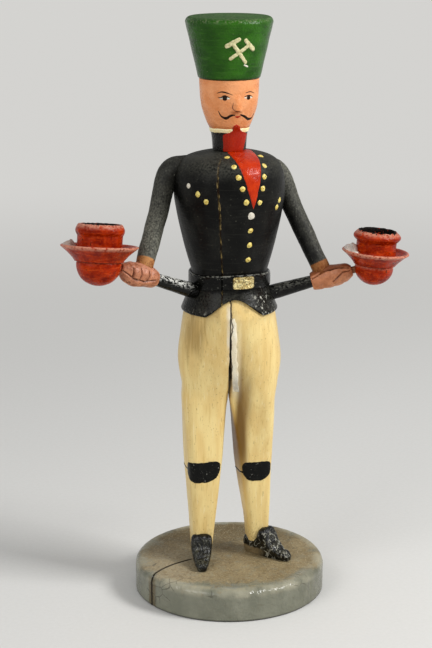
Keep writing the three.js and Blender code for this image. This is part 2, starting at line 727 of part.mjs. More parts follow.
// Hands: closed round the rod, with four knuckles on the outside, a thumb on top and a rounded end
function hand(side, growth) {
  const start = along(side, side.handStart);
  const rings = [];
  for (let row = 0; row <= ARM_ROWS; row += 1) {
    const t = row / ARM_ROWS;
    const bulge = lerp(HAND_END_THICKNESS, HAND_THICKNESS, Math.sin(Math.PI * t) ** 0.6);
    const past = Math.max(0, (t - FIST_ROUNDING_START) / (1 - FIST_ROUNDING_START));
    const thickness = bulge * Math.sqrt(1 - FIST_ROUNDING * past ** 2);
    const knuckle = KNUCKLE_HEIGHT * Math.abs(Math.sin(Math.PI * FINGERS * t)) * Math.sin(Math.PI * t);
    const points = [];
    for (let i = 0; i < ARM_SEGMENTS; i += 1) {
      const angle = (2 * Math.PI * i) / ARM_SEGMENTS;
      const fingers = Math.max(0, -side.sign * Math.cos(angle));
      const thumb = Math.max(0, Math.sin(angle)) ** 4 * Math.sin(Math.PI * Math.min(1, 1.5 * t));
      const radius = thickness / 2 + knuckle * fingers + THUMB_HEIGHT * thumb + growth;
      const z = start + lerp(-growth, HAND_LENGTH + growth, t);
      points.push(new THREE.Vector3(radius * Math.cos(angle), radius * Math.sin(angle), z));
    }
    rings.push(points);
  }
  return skin(rings).applyMatrix4(rodMatrix(side));
}

// Sleeves: from inside the shoulder down and forward to the top of the hand
function sleeve(side) {
  const shoulder = shoulderPoint(side);
  const root = new THREE.Vector3(-side.sign * ARM_ROOT_REACH, 0, ARM_ROOT_RISE).add(shoulder);
  const elbow = new THREE.Vector3(side.sign * side.elbowSpread, -ELBOW_FORWARD, neckZ - ELBOW_DROP);
  const cuff = new THREE.Vector3(0, 0, along(side, side.cuffReach)).applyMatrix4(rodMatrix(side));
  const path = new THREE.CatmullRomCurve3([root, shoulder, elbow, cuff]);
  const reference = new THREE.Vector3(0, -1, 0);
  const rings = [];
  for (let row = 0; row <= ARM_ROWS; row += 1) {
    const t = row / ARM_ROWS;
    const centre = path.getPoint(t);
    const tangent = path.getTangent(t);
    const across = new THREE.Vector3().crossVectors(reference, tangent).normalize();
    const over = new THREE.Vector3().crossVectors(tangent, across);
    const upper = lerp(ARM_TOP_RADIUS, ELBOW_RADIUS, smoothstep(t, 0.2, 0.6));
    const radius = lerp(upper, CUFF_RADIUS, smoothstep(t, 0.6, 1));
    const points = [];
    for (let i = 0; i < ARM_SEGMENTS; i += 1) {
      const angle = (2 * Math.PI * i) / ARM_SEGMENTS;
      const point = centre.clone().addScaledVector(across, radius * Math.cos(angle));
      points.push(point.addScaledVector(over, radius * Math.sin(angle)));
    }
    rings.push(points);
  }
  return cut(skin(rings), coatEnvelope(), hand(side, GLUE_GAP), shoulderDowel(side, GLUE_GAP));
}

for (const side of sides) {
  add(`${side.name}_rod`, join(cut(rodBlank(side, 0), coatEnvelope()), hipTenon(side, 0)), wood.belt);
  add(`${side.name}_hand`, cut(hand(side, 0), rodBlank(side, GLUE_GAP)), wood.hand);
  add(`${side.name}_sleeve`, sleeve(side), wood.coat);
}

// Candle cups: socket, drip saucer and bowl on one leaning axis, held by the socket's spigot
const saucerFloor = -DISH_DEPTH;
const socketSeat = saucerFloor + GLUE_GAP;
const spigotHole = SPIGOT_RADIUS + GLUE_GAP;
const bowlTop = (side) => -side.saucerDepth - GLUE_GAP;

function dripSaucer(side) {
  const rim = side.saucerRadius;
  const foot = side.bowlRadius + SAUCER_FOOT_LEDGE;
  const low = -side.saucerDepth;
  const profile = [[spigotHole, low], [foot, low]];
  const steps = 4;
  for (let i = 1; i <= steps; i += 1) {
    const t = i / steps;
    profile.push([lerp(foot, rim, t), lerp(low, -SAUCER_LIP, t ** SAUCER_FLARE)]);
  }
  profile.push([rim - SAUCER_LIP * 0.3, -SAUCER_LIP * 0.3], [rim - SAUCER_LIP, 0]);
  profile.push([lerp(rim, foot, 0.45), saucerFloor * 0.75], [foot, saucerFloor]);
  profile.push([spigotHole, saucerFloor], [spigotHole, low]);
  return turned(profile, SAUCER_SEGMENTS);
}

function candleSocket(side) {
  const top = socketSeat + SOCKET_HEIGHT;
  const ringLow = top - SOCKET_RING_HEIGHT;
  const floor = top - CANDLE_BORE_DEPTH;
  const spigotLow = bowlTop(side) - SPIGOT_IN_BOWL;
  const profile = [[0, spigotLow], [SPIGOT_RADIUS, spigotLow], [SPIGOT_RADIUS, socketSeat]];
  profile.push([side.socketNeck + SOCKET_FOOT_FLARE, socketSeat]);
  profile.push([side.socketNeck, socketSeat + SOCKET_FOOT_HEIGHT]);
  for (let i = 0; i <= EDGE_STEPS; i += 1) {
    const angle = (i / EDGE_STEPS) * Math.PI;
    const bulge = (SOCKET_RING_RADIUS - side.socketNeck) * Math.sin(angle);
    const rise = (SOCKET_RING_HEIGHT - SOCKET_BEVEL) * (i / EDGE_STEPS);
    profile.push([side.socketNeck + bulge, ringLow + rise]);
  }
  profile.push([side.socketNeck - SOCKET_BEVEL, top], [CANDLE_BORE_RADIUS + BORE_BEVEL, top]);
  profile.push([CANDLE_BORE_RADIUS, top - BORE_BEVEL], [CANDLE_BORE_RADIUS, floor], [0, floor]);
  return turned(profile, CUP_SEGMENTS);
}

function cupBowl(side) {
  const top = bowlTop(side);
  const profile = [];
  for (let i = 0; i <= EDGE_STEPS; i += 1) {
    const angle = (i / EDGE_STEPS) * (Math.PI / 2);
    const drop = (side.bowlDepth - BOWL_RIM) * Math.cos(angle);
    profile.push([side.bowlRadius * Math.sin(angle), top - BOWL_RIM - drop]);
  }
  const holeFloor = top - SPIGOT_IN_BOWL - GLUE_GAP;
  profile.push([side.bowlRadius, top], [spigotHole, top], [spigotHole, holeFloor], [0, holeFloor]);
  return turned(profile, CUP_SEGMENTS);
}

for (const side of sides) {
  const cup = new THREE.Group();
  const [leanX, leanY] = side.cupLean.map(radians);
  const axis = new THREE.Vector3(Math.tan(leanX), Math.tan(leanY), 1).normalize();
  cup.quaternion.setFromUnitVectors(new THREE.Vector3(0, 0, 1), axis);
  const outward = new THREE.Vector3(0, 0, 1).transformDirection(rodMatrix(side)).projectOnPlane(axis);
  cup.position.set(0, 0, cupTenonEnd(side)).applyMatrix4(rodMatrix(side));
  cup.position.addScaledVector(outward.normalize(), side.bowlRadius - CUP_TENON_DEPTH);
  cup.position.addScaledVector(axis, side.saucerDepth + ROD_HOLE_DROP);
  cup.updateMatrix();
  const rodHole = cupTenon(side, GLUE_GAP).applyMatrix4(cup.matrix.clone().invert());
  add(`${side.name}_cup_bowl`, cut(cupBowl(side), rodHole), wood.cup, cup);
  add(`${side.name}_drip_saucer`, dripSaucer(side), wood.cup, cup);
  add(`${side.name}_candle_socket`, candleSocket(side), wood.cup, cup);
  figurine.add(cup);
}

// Head: neck, collar and cup-shaped face in one turned piece, with the nose carved out of it
function head() {
  const outline = new THREE.SplineCurve([
    new THREE.Vector2(NECK_RADIUS, 0),
    new THREE.Vector2(COLLAR_RADIUS, COLLAR_HEIGHT),
    new THREE.Vector2(JAW_RADIUS, JAW_HEIGHT),
    new THREE.Vector2(CHEEK_RADIUS, CHEEK_HEIGHT),
    new THREE.Vector2(BROW_RADIUS, HEAD_HEIGHT),
  ]);
  const rings = outline.getPoints(HEAD_ROWS).map((place) => {
    const below = (place.y - NOSE_TIP) / NOSE_LENGTH;
    const bridge = below > 0 ? Math.max(0, 1 - below) ** 0.8 : Math.max(0, 1 + below * 5);
    const points = [];
    for (let i = 0; i < ROUND_SEGMENTS; i += 1) {
      const turn = (2 * Math.PI * i) / ROUND_SEGMENTS;
      const angle = turn - 0.75 * Math.sin(turn);
      const sideways = (place.x * Math.sin(angle)) / NOSE_HALF_WIDTH;
      const front = Math.cos(angle) > 0 ? Math.exp(-(sideways ** 2)) : 0;
      const radius = place.x + NOSE_HEIGHT * bridge * front;
      points.push(new THREE.Vector3(radius * Math.sin(angle), -radius * Math.cos(angle), headZ + place.y));
    }
    return points;
  });
  return cut(skin(rings), neckDowel(GLUE_GAP), hatDowel(GLUE_GAP));
}

// Hat: a tall cap without a brim that widens upward to a rounded, slightly domed top
function hat() {
  const profile = [[0, hatZ], [HAT_BRIM_RADIUS - HAT_BRIM_BEVEL, hatZ]];
  profile.push([HAT_BRIM_RADIUS, hatZ + HAT_BRIM_BEVEL]);
  const edgeZ = hatZ + HAT_HEIGHT - HAT_CROWN - HAT_EDGE_RADIUS;
  for (let i = 0; i <= EDGE_STEPS; i += 1) {
    const angle = (i / EDGE_STEPS) * (Math.PI / 2);
    const inset = HAT_EDGE_RADIUS * (1 - Math.cos(angle));
    profile.push([HAT_TOP_RADIUS - inset, edgeZ + HAT_EDGE_RADIUS * Math.sin(angle)]);
  }
  profile.push([HAT_TOP_RADIUS / 2, hatZ + HAT_HEIGHT - HAT_CROWN / 4], [0, hatZ + HAT_HEIGHT]);
  return cut(turned(profile, ROUND_SEGMENTS), hatDowel(GLUE_GAP));
}

add("head", head(), wood.face);
add("hat", hat(), wood.hat);

export default figurine;
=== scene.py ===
import math

import bpy
import numpy as np
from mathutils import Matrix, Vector, noise


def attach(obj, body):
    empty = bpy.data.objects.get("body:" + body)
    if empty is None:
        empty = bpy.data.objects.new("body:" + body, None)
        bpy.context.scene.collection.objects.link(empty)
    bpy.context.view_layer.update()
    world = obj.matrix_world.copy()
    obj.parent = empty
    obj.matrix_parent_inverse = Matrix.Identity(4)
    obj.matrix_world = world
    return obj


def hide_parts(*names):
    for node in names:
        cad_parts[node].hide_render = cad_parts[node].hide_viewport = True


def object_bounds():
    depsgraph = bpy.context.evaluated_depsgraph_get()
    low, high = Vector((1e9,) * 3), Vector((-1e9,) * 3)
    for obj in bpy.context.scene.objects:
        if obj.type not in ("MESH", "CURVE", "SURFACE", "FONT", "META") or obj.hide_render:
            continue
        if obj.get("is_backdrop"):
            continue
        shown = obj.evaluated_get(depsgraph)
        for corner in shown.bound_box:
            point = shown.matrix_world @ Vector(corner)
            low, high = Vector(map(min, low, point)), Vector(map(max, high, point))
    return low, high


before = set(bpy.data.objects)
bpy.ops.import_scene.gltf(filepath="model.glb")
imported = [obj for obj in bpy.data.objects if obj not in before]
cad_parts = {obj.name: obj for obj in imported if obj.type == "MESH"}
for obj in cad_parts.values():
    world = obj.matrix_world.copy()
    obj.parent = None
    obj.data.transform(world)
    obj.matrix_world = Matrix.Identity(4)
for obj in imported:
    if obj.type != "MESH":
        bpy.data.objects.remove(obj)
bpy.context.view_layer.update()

# Studio: a wide sheet of pale paper, a strong soft box on the figure's left, a wider and weaker one
# on its right and a dim, even room. The camera is a little to the figure's right and looks down.
MM = 0.001
CAMERA_TURN = math.radians(-16)
CAMERA_PITCH = math.radians(14.73)
CAMERA_AWAY = 1.014
CAMERA_HEIGHT = 0.438
LENS = 94.83
LENS_SHIFT = -0.0204
LAMP_TARGET = Vector((0, 0, 0.2))
ROOM_GREY = (0.42, 0.425, 0.43, 1)
FLOOR_HALF = 14.0

scene = bpy.context.scene
scene.view_settings.view_transform = "Standard"
camera = bpy.data.objects.new("camera", bpy.data.cameras.new("camera"))
camera.data.lens = LENS
camera.data.sensor_width = 36
camera.data.shift_x = LENS_SHIFT
camera.location = Vector((math.sin(CAMERA_TURN), -math.cos(CAMERA_TURN), 0)) * CAMERA_AWAY
camera.location.z = CAMERA_HEIGHT
camera.rotation_euler = (math.pi / 2 - CAMERA_PITCH, 0, CAMERA_TURN)
scene.collection.objects.link(camera)
scene.camera = camera


def soft_box(name, turn, rise, away, size, power):
    """A square lamp that faces the figure's chest from an angle round it and above it."""
    across, up = math.radians(turn), math.radians(rise)
    level = math.cos(up)
    toward = Vector((math.sin(across) * level, -math.cos(across) * level, math.sin(up)))
    lamp = bpy.data.objects.new(name, bpy.data.lights.new(name, "AREA"))
    lamp.data.size = size
    lamp.data.energy = power
    lamp.location = LAMP_TARGET + toward * away
    lamp.rotation_euler = toward.to_track_quat("Z", "Y").to_euler()
    scene.collection.objects.link(lamp)


soft_box("key_light", turn=54, rise=37, away=1.3, size=0.42, power=14.0)
soft_box("fill_light", turn=-58, rise=34, away=1.5, size=0.8, power=6.5)
room = bpy.data.worlds.new("room")
room.use_nodes = True
room.node_tree.nodes["Background"].inputs["Color"].default_value = ROOM_GREY
scene.world = room


class Socket:
    """A socket of a material's nodes. Sums and products of sockets add Math nodes."""

    def __init__(self, output):
        self.output = output

    def node(self, kind, inputs, output=0, **settings):
        tree = self.output.id_data
        made = tree.nodes.new(kind)
        for key, value in settings.items():
            setattr(made, key, value)
        for key, value in inputs.items():
            if isinstance(value, Socket):
                tree.links.new(value.output, made.inputs[key])
            else:
                made.inputs[key].default_value = value
        return Socket(made.outputs[output])

    def maths(self, operation, first, second=0.0):
        return self.node("ShaderNodeMath", {0: first, 1: second}, operation=operation)

    def vector(self, operation, second=(0, 0, 0), output=0):
        inputs = {0: self, 1: second}
        return self.node("ShaderNodeVectorMath", inputs, output=output, operation=operation)

    def __add__(self, other):
        return self.maths("ADD", self, other)

    def __sub__(self, other):
        return self.maths("SUBTRACT", self, other)

    def __rsub__(self, other):
        return self.maths("SUBTRACT", other, self)

    def __mul__(self, other):
        return self.maths("MULTIPLY", self, other)

    __radd__ = __add__
    __rmul__ = __mul__

    def absolute(self):
        return self.maths("ABSOLUTE", self)

    def ramp(self, low, high):
        """0 below low and 1 above high, or the other way round where low is the larger."""
        bounds = {"Value": self, "From Min": low, "From Max": high}
        return self.node("ShaderNodeMapRange", bounds, interpolation_type="SMOOTHSTEP")

    def line(self, low, high, start=0.0, end=1.0):
        """A value that goes evenly from start at low to end at high."""
        bounds = {"Value": self, "From Min": low, "From Max": high, "To Min": start, "To Max": end}
        return self.node("ShaderNodeMapRange", bounds)

    def paint(self, under, over):
        """One colour over another, with this value as the mask."""
        return self.node("ShaderNodeMix", {0: self, 6: under, 7: over}, output=2, data_type="RGBA")

    def axis(self, name):
        return self.node("ShaderNodeSeparateXYZ", {0: self}, output=name)

    def grain(self, size, stretch=(1, 1, 1), detail=3.0, shift=0.0):
        """Cloudy noise with features of about this size in mm, drawn out along an axis by stretch."""
        moved = self.vector("MULTIPLY", [1 / (size * s) for s in stretch]).vector("ADD", [shift] * 3)
        return self.node("ShaderNodeTexNoise", {"Vector": moved, "Scale": 1.0, "Detail": detail})

    def near(self, centre, radii):
        """1 at a place in the figure's frame and 0 beyond an ellipsoid round it."""
        scaled = self.vector("SUBTRACT", centre).vector("DIVIDE", radii)
        return scaled.vector("LENGTH", output="Value").ramp(1.0, 0.0)

    def from_axis(self):
        """Distance from the figure's axis."""
        return self.vector("MULTIPLY", (1, 1, 0)).vector("LENGTH", output="Value")

    def angle(self):
        """Degrees round the figure's axis from its front, positive toward its left."""
        return self.maths("ARCTAN2", self.axis("X"), 0 - self.axis("Y")) * math.degrees(1)


def tint(code):
    """Linear colour of a six-digit screen colour."""
    parts = [int(code[i:i + 2], 16) / 255 for i in (0, 2, 4)]
    return [*(p / 12.92 if p < 0.04045 else ((p + 0.055) / 1.055) ** 2.4 for p in parts), 1.0]


class Finish:
    """A painted finish: its shader, its colour so far, and the place on the figure in mm."""

    def __init__(self, name):
        self.material = bpy.data.materials.new(name)
        self.material.use_nodes = True
        tree = self.material.node_tree
        self.shader = tree.nodes["Principled BSDF"]
        metres = Socket(tree.nodes.new("ShaderNodeTexCoord").outputs["Object"])
        self.place = metres.vector("MULTIPLY", [1 / MM] * 3)
        self.colour = None

    def set(self, **values):
        for key, value in values.items():
            socket = self.shader.inputs[key.replace("_", " ")]
            if isinstance(value, Socket):
                self.material.node_tree.links.new(value.output, socket)
            else:
                socket.default_value = value

    def ground(self, mask, dark, pale):
        """The first coat, from one colour where the mask is 0 to another where it is 1."""
        self.colour = mask.paint(tint(dark), tint(pale))

    def over(self, mask, code):
        """A further colour, where the mask is above 0."""
        self.colour = mask.paint(self.colour, tint(code))

    def done(self, roughness, relief, **constants):
        """The last step: colour, roughness, and bumps whose height is in millimetres."""
        bump = self.place.node("ShaderNodeBump", {"Height": relief, "Distance": MM})
        self.set(Base_Color=self.colour, Roughness=roughness, Normal=bump, **constants)

    def facing(self, axis):
        """How far the surface faces along an axis, from -1 to 1."""
        return self.place.node("ShaderNodeNewGeometry", {}, output="Normal").axis(axis)

    def attribute(self, name):
        return self.place.node("ShaderNodeAttribute", {}, output="Fac", attribute_name=name)


paper = Finish("pale_paper")
paper.ground(paper.place.grain(2.5), "d6d5d1", "deddda")
away = paper.place.from_axis()
rays = ("Is Camera Ray", "Is Glossy Ray", "Is Transmission Ray")
seen = sum(away.node("ShaderNodeLightPath", {}, output=ray) for ray in rays)
backdrop = seen * away.ramp(260, 1500)
paper.over(backdrop, "000000")
paper.set(Base_Color=paper.colour, Roughness=0.9, Specular_IOR_Level=0.1)
paper.set(Emission_Color=backdrop.paint(tint("000000"), tint("d2d1ce")), Emission_Strength=1.0)
corners = [(x * FLOOR_HALF, y * FLOOR_HALF, 0) for x, y in ((-1, -1), (1, -1), (1, 1), (-1, 1))]
floor_mesh = bpy.data.meshes.new("paper_floor")
floor_mesh.from_pydata(corners, [], [(0, 1, 2, 3)])
floor_mesh.materials.append(paper.material)
floor = bpy.data.objects.new("paper_floor", floor_mesh)
scene.collection.objects.link(floor)
floor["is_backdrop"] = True

# Base: a turned disc of wood with a rounded top edge, painted grey and dusty brown on top. It has
# split from the figure's right foot to the edge and down the side, and its side is dented.
BASE_RADIUS = 59.5
BASE_HEIGHT = 20.0
BASE_EDGE_RADIUS = 4.5
BASE_FOOT_EDGE = 0.8
SPLIT_START_RADIUS = 24.0
SPLIT_START_ANGLE = -86.6
SPLIT_EDGE_ANGLE = -69.5
SPLIT_HALF_WIDTH = 0.75
SPLIT_DEPTH = 2.2
SPLIT_BEND = 1.15
SIDE_CRACK_ANGLE = 39.5
SHARP_EDGE = math.radians(50)
# Each dent: angle, height, size and depth
DENTS = ((-48, 17.6, 2.4, 0.7), (-45, 13, 1.5, 0.45), (5, 16.8, 2.6, 0.5))


def mix(first, second, share):
    return first + (np.asarray(second) - first) * share


def bands(rows, count, closed=False):
    """Faces between each ring of points and the next, and from the last to the first if closed."""
    ring = np.arange(rows * count).reshape(rows, count)
    if closed:
        ring = np.vstack([ring, ring[:1]])
    after = np.roll(ring, -1, axis=1)
    return np.stack([ring[:-1], after[:-1], after[1:], ring[1:]], 2).reshape(-1, 4).tolist()


def skin(rings):
    """Points and faces of a closed surface over rings of points, with both ends capped."""
    rings = np.asarray(rings, float)
    rows, count = rings.shape[:2]
    points = np.vstack([rings.reshape(-1, 3), rings[0].mean(0), rings[-1].mean(0)])
    last, foot, top = (rows - 1) * count, rows * count, rows * count + 1
    edge = [(i, (i + 1) % count) for i in range(count)]
    caps = [[foot, b, a] for a, b in edge] + [[top, last + a, last + b] for a, b in edge]
    return points, bands(rows, count) + caps


def around_axis(radius, turn, height):
    """Points at a radius and a height, at angles in degrees from the front."""
    radius, turn, height = np.broadcast_arrays(radius, np.radians(turn), height)
    return np.stack([radius * np.sin(turn), -radius * np.cos(turn), height], -1)


def turned(profile, angles):
    """Rings of a turned profile of (radius, height)."""
    profile = np.asarray(profile, float)
    return around_axis(profile[:, :1], angles, profile[:, 1:])


def lumps(points, size, shift=0.0):
    """Smooth noise from -1 to 1 at each point, with features of about this size in mm."""
    flat = np.asarray(points, float).reshape(-1, 3) / size + shift
    values = [noise.noise(Vector(p)) for p in flat]
    return np.array(values).reshape(np.asarray(points).shape[:-1])


def pushed(points, amount):
    """Points moved away from the axis by an amount each."""
    out = points * [1, 1, 0]
    out = out / np.maximum(np.linalg.norm(out, axis=-1, keepdims=True), 0.1)
    return points + out * amount[..., None]


def piece(name, solid, finish, slot, *nodes):
    """A mesh piece that rides on the figure and stands for the named solids."""
    points, faces = solid
    mesh = bpy.data.meshes.new(name)
    mesh.from_pydata((np.asarray(points) * MM).tolist(), [], faces)
    mesh.validate()
    mesh.shade_smooth()
    mesh.set_sharp_from_angle(angle=SHARP_EDGE)
    mesh.materials.append(finish.material)
    made = bpy.data.objects.new(name, mesh)
    scene.collection.objects.link(made)
    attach(made, "root")
    if nodes:
        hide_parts(*nodes)
    return made


def rounded(radius, height, edge, steps):
    """Profile points of a convex quarter-round edge that ends at this radius and height."""
    bend = np.linspace(0, math.pi / 2, steps)
    return np.stack([radius - edge * (1 - np.cos(bend)), height - edge * (1 - np.sin(bend))], 1)


def around_split(half_width, step):
    """Angles round a turned piece in degrees, close together at a split at 0."""
    fine = np.linspace(-half_width, half_width, 29)
    return np.concatenate([fine, np.arange(half_width + step, 360 - half_width, step)])


def base_rings():
    shoulder = BASE_HEIGHT - BASE_EDGE_RADIUS
    under = [(2, 0), (BASE_RADIUS - BASE_FOOT_EDGE, 0), (BASE_RADIUS, BASE_FOOT_EDGE)]
    side = [(BASE_RADIUS, z) for z in np.linspace(2, shoulder, 14)]
    edge = rounded(BASE_RADIUS, BASE_HEIGHT, BASE_EDGE_RADIUS, 10)[1:]
    top = [(r, BASE_HEIGHT) for r in np.linspace(BASE_RADIUS - BASE_EDGE_RADIUS, 2, 48)[1:]]
    profile = np.array([*under, *side, *edge, *top])
    radius, height = profile[:, :1], profile[:, 1:]
    columns = around_split(2.0, 1.2)
    along = np.clip((radius - SPLIT_START_RADIUS) / (BASE_RADIUS - SPLIT_START_RADIUS), 0, 1)
    rings = turned(profile, columns + mix(SPLIT_START_ANGLE, SPLIT_EDGE_ANGLE, along ** SPLIT_BEND))
    wander = 0.25 * lumps(np.hstack([profile, 0 * radius]), 5.0)
    arc = np.radians(columns) * radius - wander[:, None]
    gap = np.clip(along * 3, 0, 1) * np.clip(1 - np.abs(arc) / SPLIT_HALF_WIDTH, 0, 1)
    above_foot = height > 0.1
    sink = SPLIT_DEPTH * gap * above_foot
    for turn, level, size, depth in DENTS:
        middle = turned([(BASE_RADIUS, level)], [turn])[0, 0]
        sink += depth * np.exp(-((rings - middle) ** 2).sum(2) / size ** 2)
    moved = 0.12 * lumps(rings, 9.0) + 0.05 * lumps(rings, 2.5, 7.0) - sink
    up = np.clip((height - shoulder) / BASE_EDGE_RADIUS, 0, 1)
    made = pushed(rings, moved * (1 - up ** 2) * above_foot)
    made[..., 2] += np.minimum(moved * up, 0.12)
    return made


base_paint = Finish("worn_grey_paint")
place = base_paint.place
turn = place.angle()
height = place.axis("Z")
sideways = place.axis("X")
radius = place.from_axis()
patchy = place.grain(14, detail=5.0)
blotch = place.grain(17, detail=6.0, shift=31)
fine = place.grain(1.6, detail=4.0)
base_paint.ground(patchy.ramp(0.3, 0.75), "727363", "878776")
base_paint.over(place.grain(4.5, (1, 1, 0.4), shift=3).ramp(0.56, 0.75) * 0.5, "6b6653")
# Painted shade: the grey side is darker toward the figure's left.
base_paint.over(sideways.ramp(15, 52) * 0.55, "5c5b48")
grey = base_paint.colour
base_paint.ground(patchy.ramp(0.35, 0.7), "877653", "998864")
base_paint.over(place.grain(7, detail=6.0, shift=52).ramp(0.5, 0.68) * 0.6, "89826a")
# Painted light: the dusty top is paler toward the figure's right.
base_paint.over(sideways.ramp(-12, -42) * 0.6, "a3957a")
# Darker toward the back of the top.
base_paint.over(place.axis("Y").ramp(-5, 45) * 0.85, "5e4e2b")
base_paint.over(fine.ramp(0.45, 0.75) * 0.6, "63533a")
base_paint.over(place.grain(0.9, detail=2.0, shift=9).ramp(0.56, 0.68) * 0.6, "b9ab8a")
dust = base_paint.colour
worn_left = sideways.ramp(-15, -50) * 4 + place.axis("Y").ramp(-30, -58) * 16
ragged = radius + (blotch - 0.5) * 64 + (fine - 0.5) * 22 + worn_left
dusty = ragged.ramp(BASE_RADIUS + 8, BASE_RADIUS - 8) * height.ramp(BASE_HEIGHT - 2.6, BASE_HEIGHT - 0.4)
dusty = dusty * (fine.ramp(0.2, 0.5) * 0.4 + 0.6)
base_paint.colour = dusty.paint(grey, dust)
drips = place.grain(5, (1, 1, 4), shift=14).ramp(0.58, 0.68)
drips = drips * height.ramp(BASE_HEIGHT - 7, BASE_HEIGHT - 1)
base_paint.over(drips * 0.5, "7d6c47")
split_share = radius.maths("POWER", radius.line(SPLIT_START_RADIUS, BASE_RADIUS), SPLIT_BEND)
split_turn = split_share * (SPLIT_EDGE_ANGLE - SPLIT_START_ANGLE) + SPLIT_START_ANGLE
from_split = (turn - split_turn).absolute() * radius * math.radians(1)
stain = (from_split + (patchy - 0.5) * 4).ramp(5.2, 2.4) * height.ramp(19.4, 17)
base_paint.over(stain * 0.8, "57461f")
hairline = (turn - SIDE_CRACK_ANGLE + fine * 0.5).absolute().ramp(0.22, 0.1) * height.ramp(3, 5)
base_paint.over(hairline * 0.85, "3a3527")
# Painted highlight: a paler band along the rounded top edge.
rim = height.ramp(BASE_HEIGHT - 6, BASE_HEIGHT - 2.5) * radius.ramp(BASE_RADIUS - 9, BASE_RADIUS - 4)
base_paint.over(rim * patchy.ramp(0.3, 0.6) * 0.65, "a9a48e")
webbed = {"Vector": place, "Scale": 0.11, "Randomness": 1.0}
web = place.node("ShaderNodeTexVoronoi", webbed, output="Distance", feature="DISTANCE_TO_EDGE")
cracks = (web + (fine - 0.5) * 0.06).ramp(0.03, 0.012) * place.grain(19, shift=77).ramp(0.56, 0.64)
base_paint.over(cracks * 0.55, "2f2a1c")
# Painted shadow: the bottom of the side is near black where it meets the floor.
base_paint.over(height.ramp(1.6, 0.2) * 0.85, "17150f")
sunken = (from_split + (fine - 0.5) * 0.5).ramp(1.15, 0.6)
sunken = sunken * radius.ramp(SPLIT_START_RADIUS - 1, SPLIT_START_RADIUS + 3) * height.ramp(0.4, 1)
base_paint.over(sunken * 0.9, "1d1509")
bumps = fine * (dusty * 0.3 + 0.2) + place.grain(4.0, shift=41) * 0.9
base_paint.done(dusty * 0.5 + fine * 0.2 + 0.1, bumps, Specular_IOR_Level=0.45)
piece("base", skin(base_rings()), base_paint, "base_paint", "base_disc")

# Trousers: two carved halves that meet at a centre seam above the crotch, square at the shin and
# round at the hip, in yellow oil paint brushed downward. The seam has opened and been filled.
ANKLE_Z = 29.6
LEG_LENGTH = 165.6
HEM_Z = 182.0
HEM_RADIUS = 29.8
SKIRT_LENGTH = 13.5
SKIRT_TOP_RADIUS = 24.2
SKIRT_WALL = 1.6
GLUE_GAP = 0.3
KNEE_HEIGHT = 49.0
THIGH_HEIGHT = 96.0
CROTCH_HEIGHT = 105.0
CROTCH_Z = ANKLE_Z + CROTCH_HEIGHT
HIP_TWIST = math.radians(-14)
SQUARENESS = 4.2
SIDES = {"right": -1, "left": 1}
HIP_DARK_AT = (-27, -13, 170)
HIP_DARK_REACH = (19, 22, 34)


def ease(value, low, high):
    """A smooth step from 0 at low to 1 at high."""
    share = np.clip((value - low) / (high - low), 0, 1)
    return share * share * (3 - 2 * share)


def power(value, exponent):
    return np.sign(value) * np.abs(value) ** exponent


def rotated(x, y, turn):
    return x * np.cos(turn) - y * np.sin(turn), x * np.sin(turn) + y * np.cos(turn)


def curve(points, steps, even=False):
    """Points on a smooth curve through the given ones, with this many steps between each two.

    Its slopes allow for uneven spacing of the points, unless even is true.
    """
    points = np.asarray(points, float)
    reach = 0 if even else 1
    first = points[0] + reach * (points[0] - points[1])
    last = points[-1] + reach * (points[-1] - points[-2])
    t = (np.arange(steps) / steps)[:, None]
    weights = ((2 * t - 3) * t * t + 1, ((t - 2) * t + 1) * t, (3 - 2 * t) * t * t, (t - 1) * t * t)
    ends = [first, *points, last]
    made = []
    for before, start, end, after in zip(ends, ends[1:], ends[2:], ends[3:]):
        leave, arrive = (end - before) / 2, (after - start) / 2
        if not even:
            pairs = ((before, start), (start, end), (end, after))
            lead, span, trail = (np.linalg.norm(b - a) ** 0.5 for a, b in pairs)
            run = (end - start) / span
            leave = span * ((start - before) / lead - (end - before) / (lead + span) + run)
            arrive = span * (run - (after - start) / (span + trail) + (after - end) / trail)
        made.append(sum(w * b for w, b in zip(weights, (start, leave, end, arrive))))
    return np.vstack([*made, points[-1:]])


def leg_sections(steps):
    """Rows of (height, outer reach, half depth, inner reach, share of the hip's roundness, lean)."""
    shin = [(0, 12.6, 12.6, 18.3, 0), (17, 15, 15.2, 17.8, 0)]
    shin += [(KNEE_HEIGHT, 20.6, 20.4, 16.4, -0.9), (THIGH_HEIGHT, 28.4, 31, 14.6, -0.9)]
    hem = HEM_RADIUS - SKIRT_WALL - GLUE_GAP
    top = SKIRT_TOP_RADIUS - SKIRT_WALL - GLUE_GAP
    inner = GLUE_GAP / 2
    named = [(z, spread + w / 2, d / 2, spread - w / 2, 0, lean) for z, w, d, spread, lean in shin]
    named += [(CROTCH_HEIGHT, 29.3, 17.5, inner, 0.3, 0), (121.5, 31.6, 22, inner, 0.75, 0)]
    named = np.array([*named, (HEM_Z - ANKLE_Z, hem, hem, inner, 1, 0)])
    smooth = curve(named[:, :3], steps)
    share = np.arange(len(smooth)) / steps
    plain = [np.interp(share, np.arange(len(named)), named[:, k]) for k in (3, 4, 5)]
    return np.vstack([np.column_stack([smooth, *plain]), (LEG_LENGTH, top, top, inner, 1, 0)])


def twisted(x, y, height):
    """A leg turns from the knee up, until its front faces the way the hip does."""
    return rotated(x, y, HIP_TWIST * ease(height, KNEE_HEIGHT, CROTCH_HEIGHT))


def squared(outer, inner, depth, around):
    """Places on a square section with round corners, outward and from front to back."""
    x = (outer + inner) / 2 + (outer - inner) / 2 * power(np.cos(around), 2 / SQUARENESS)
    return x, depth * power(np.sin(around), 2 / SQUARENESS)


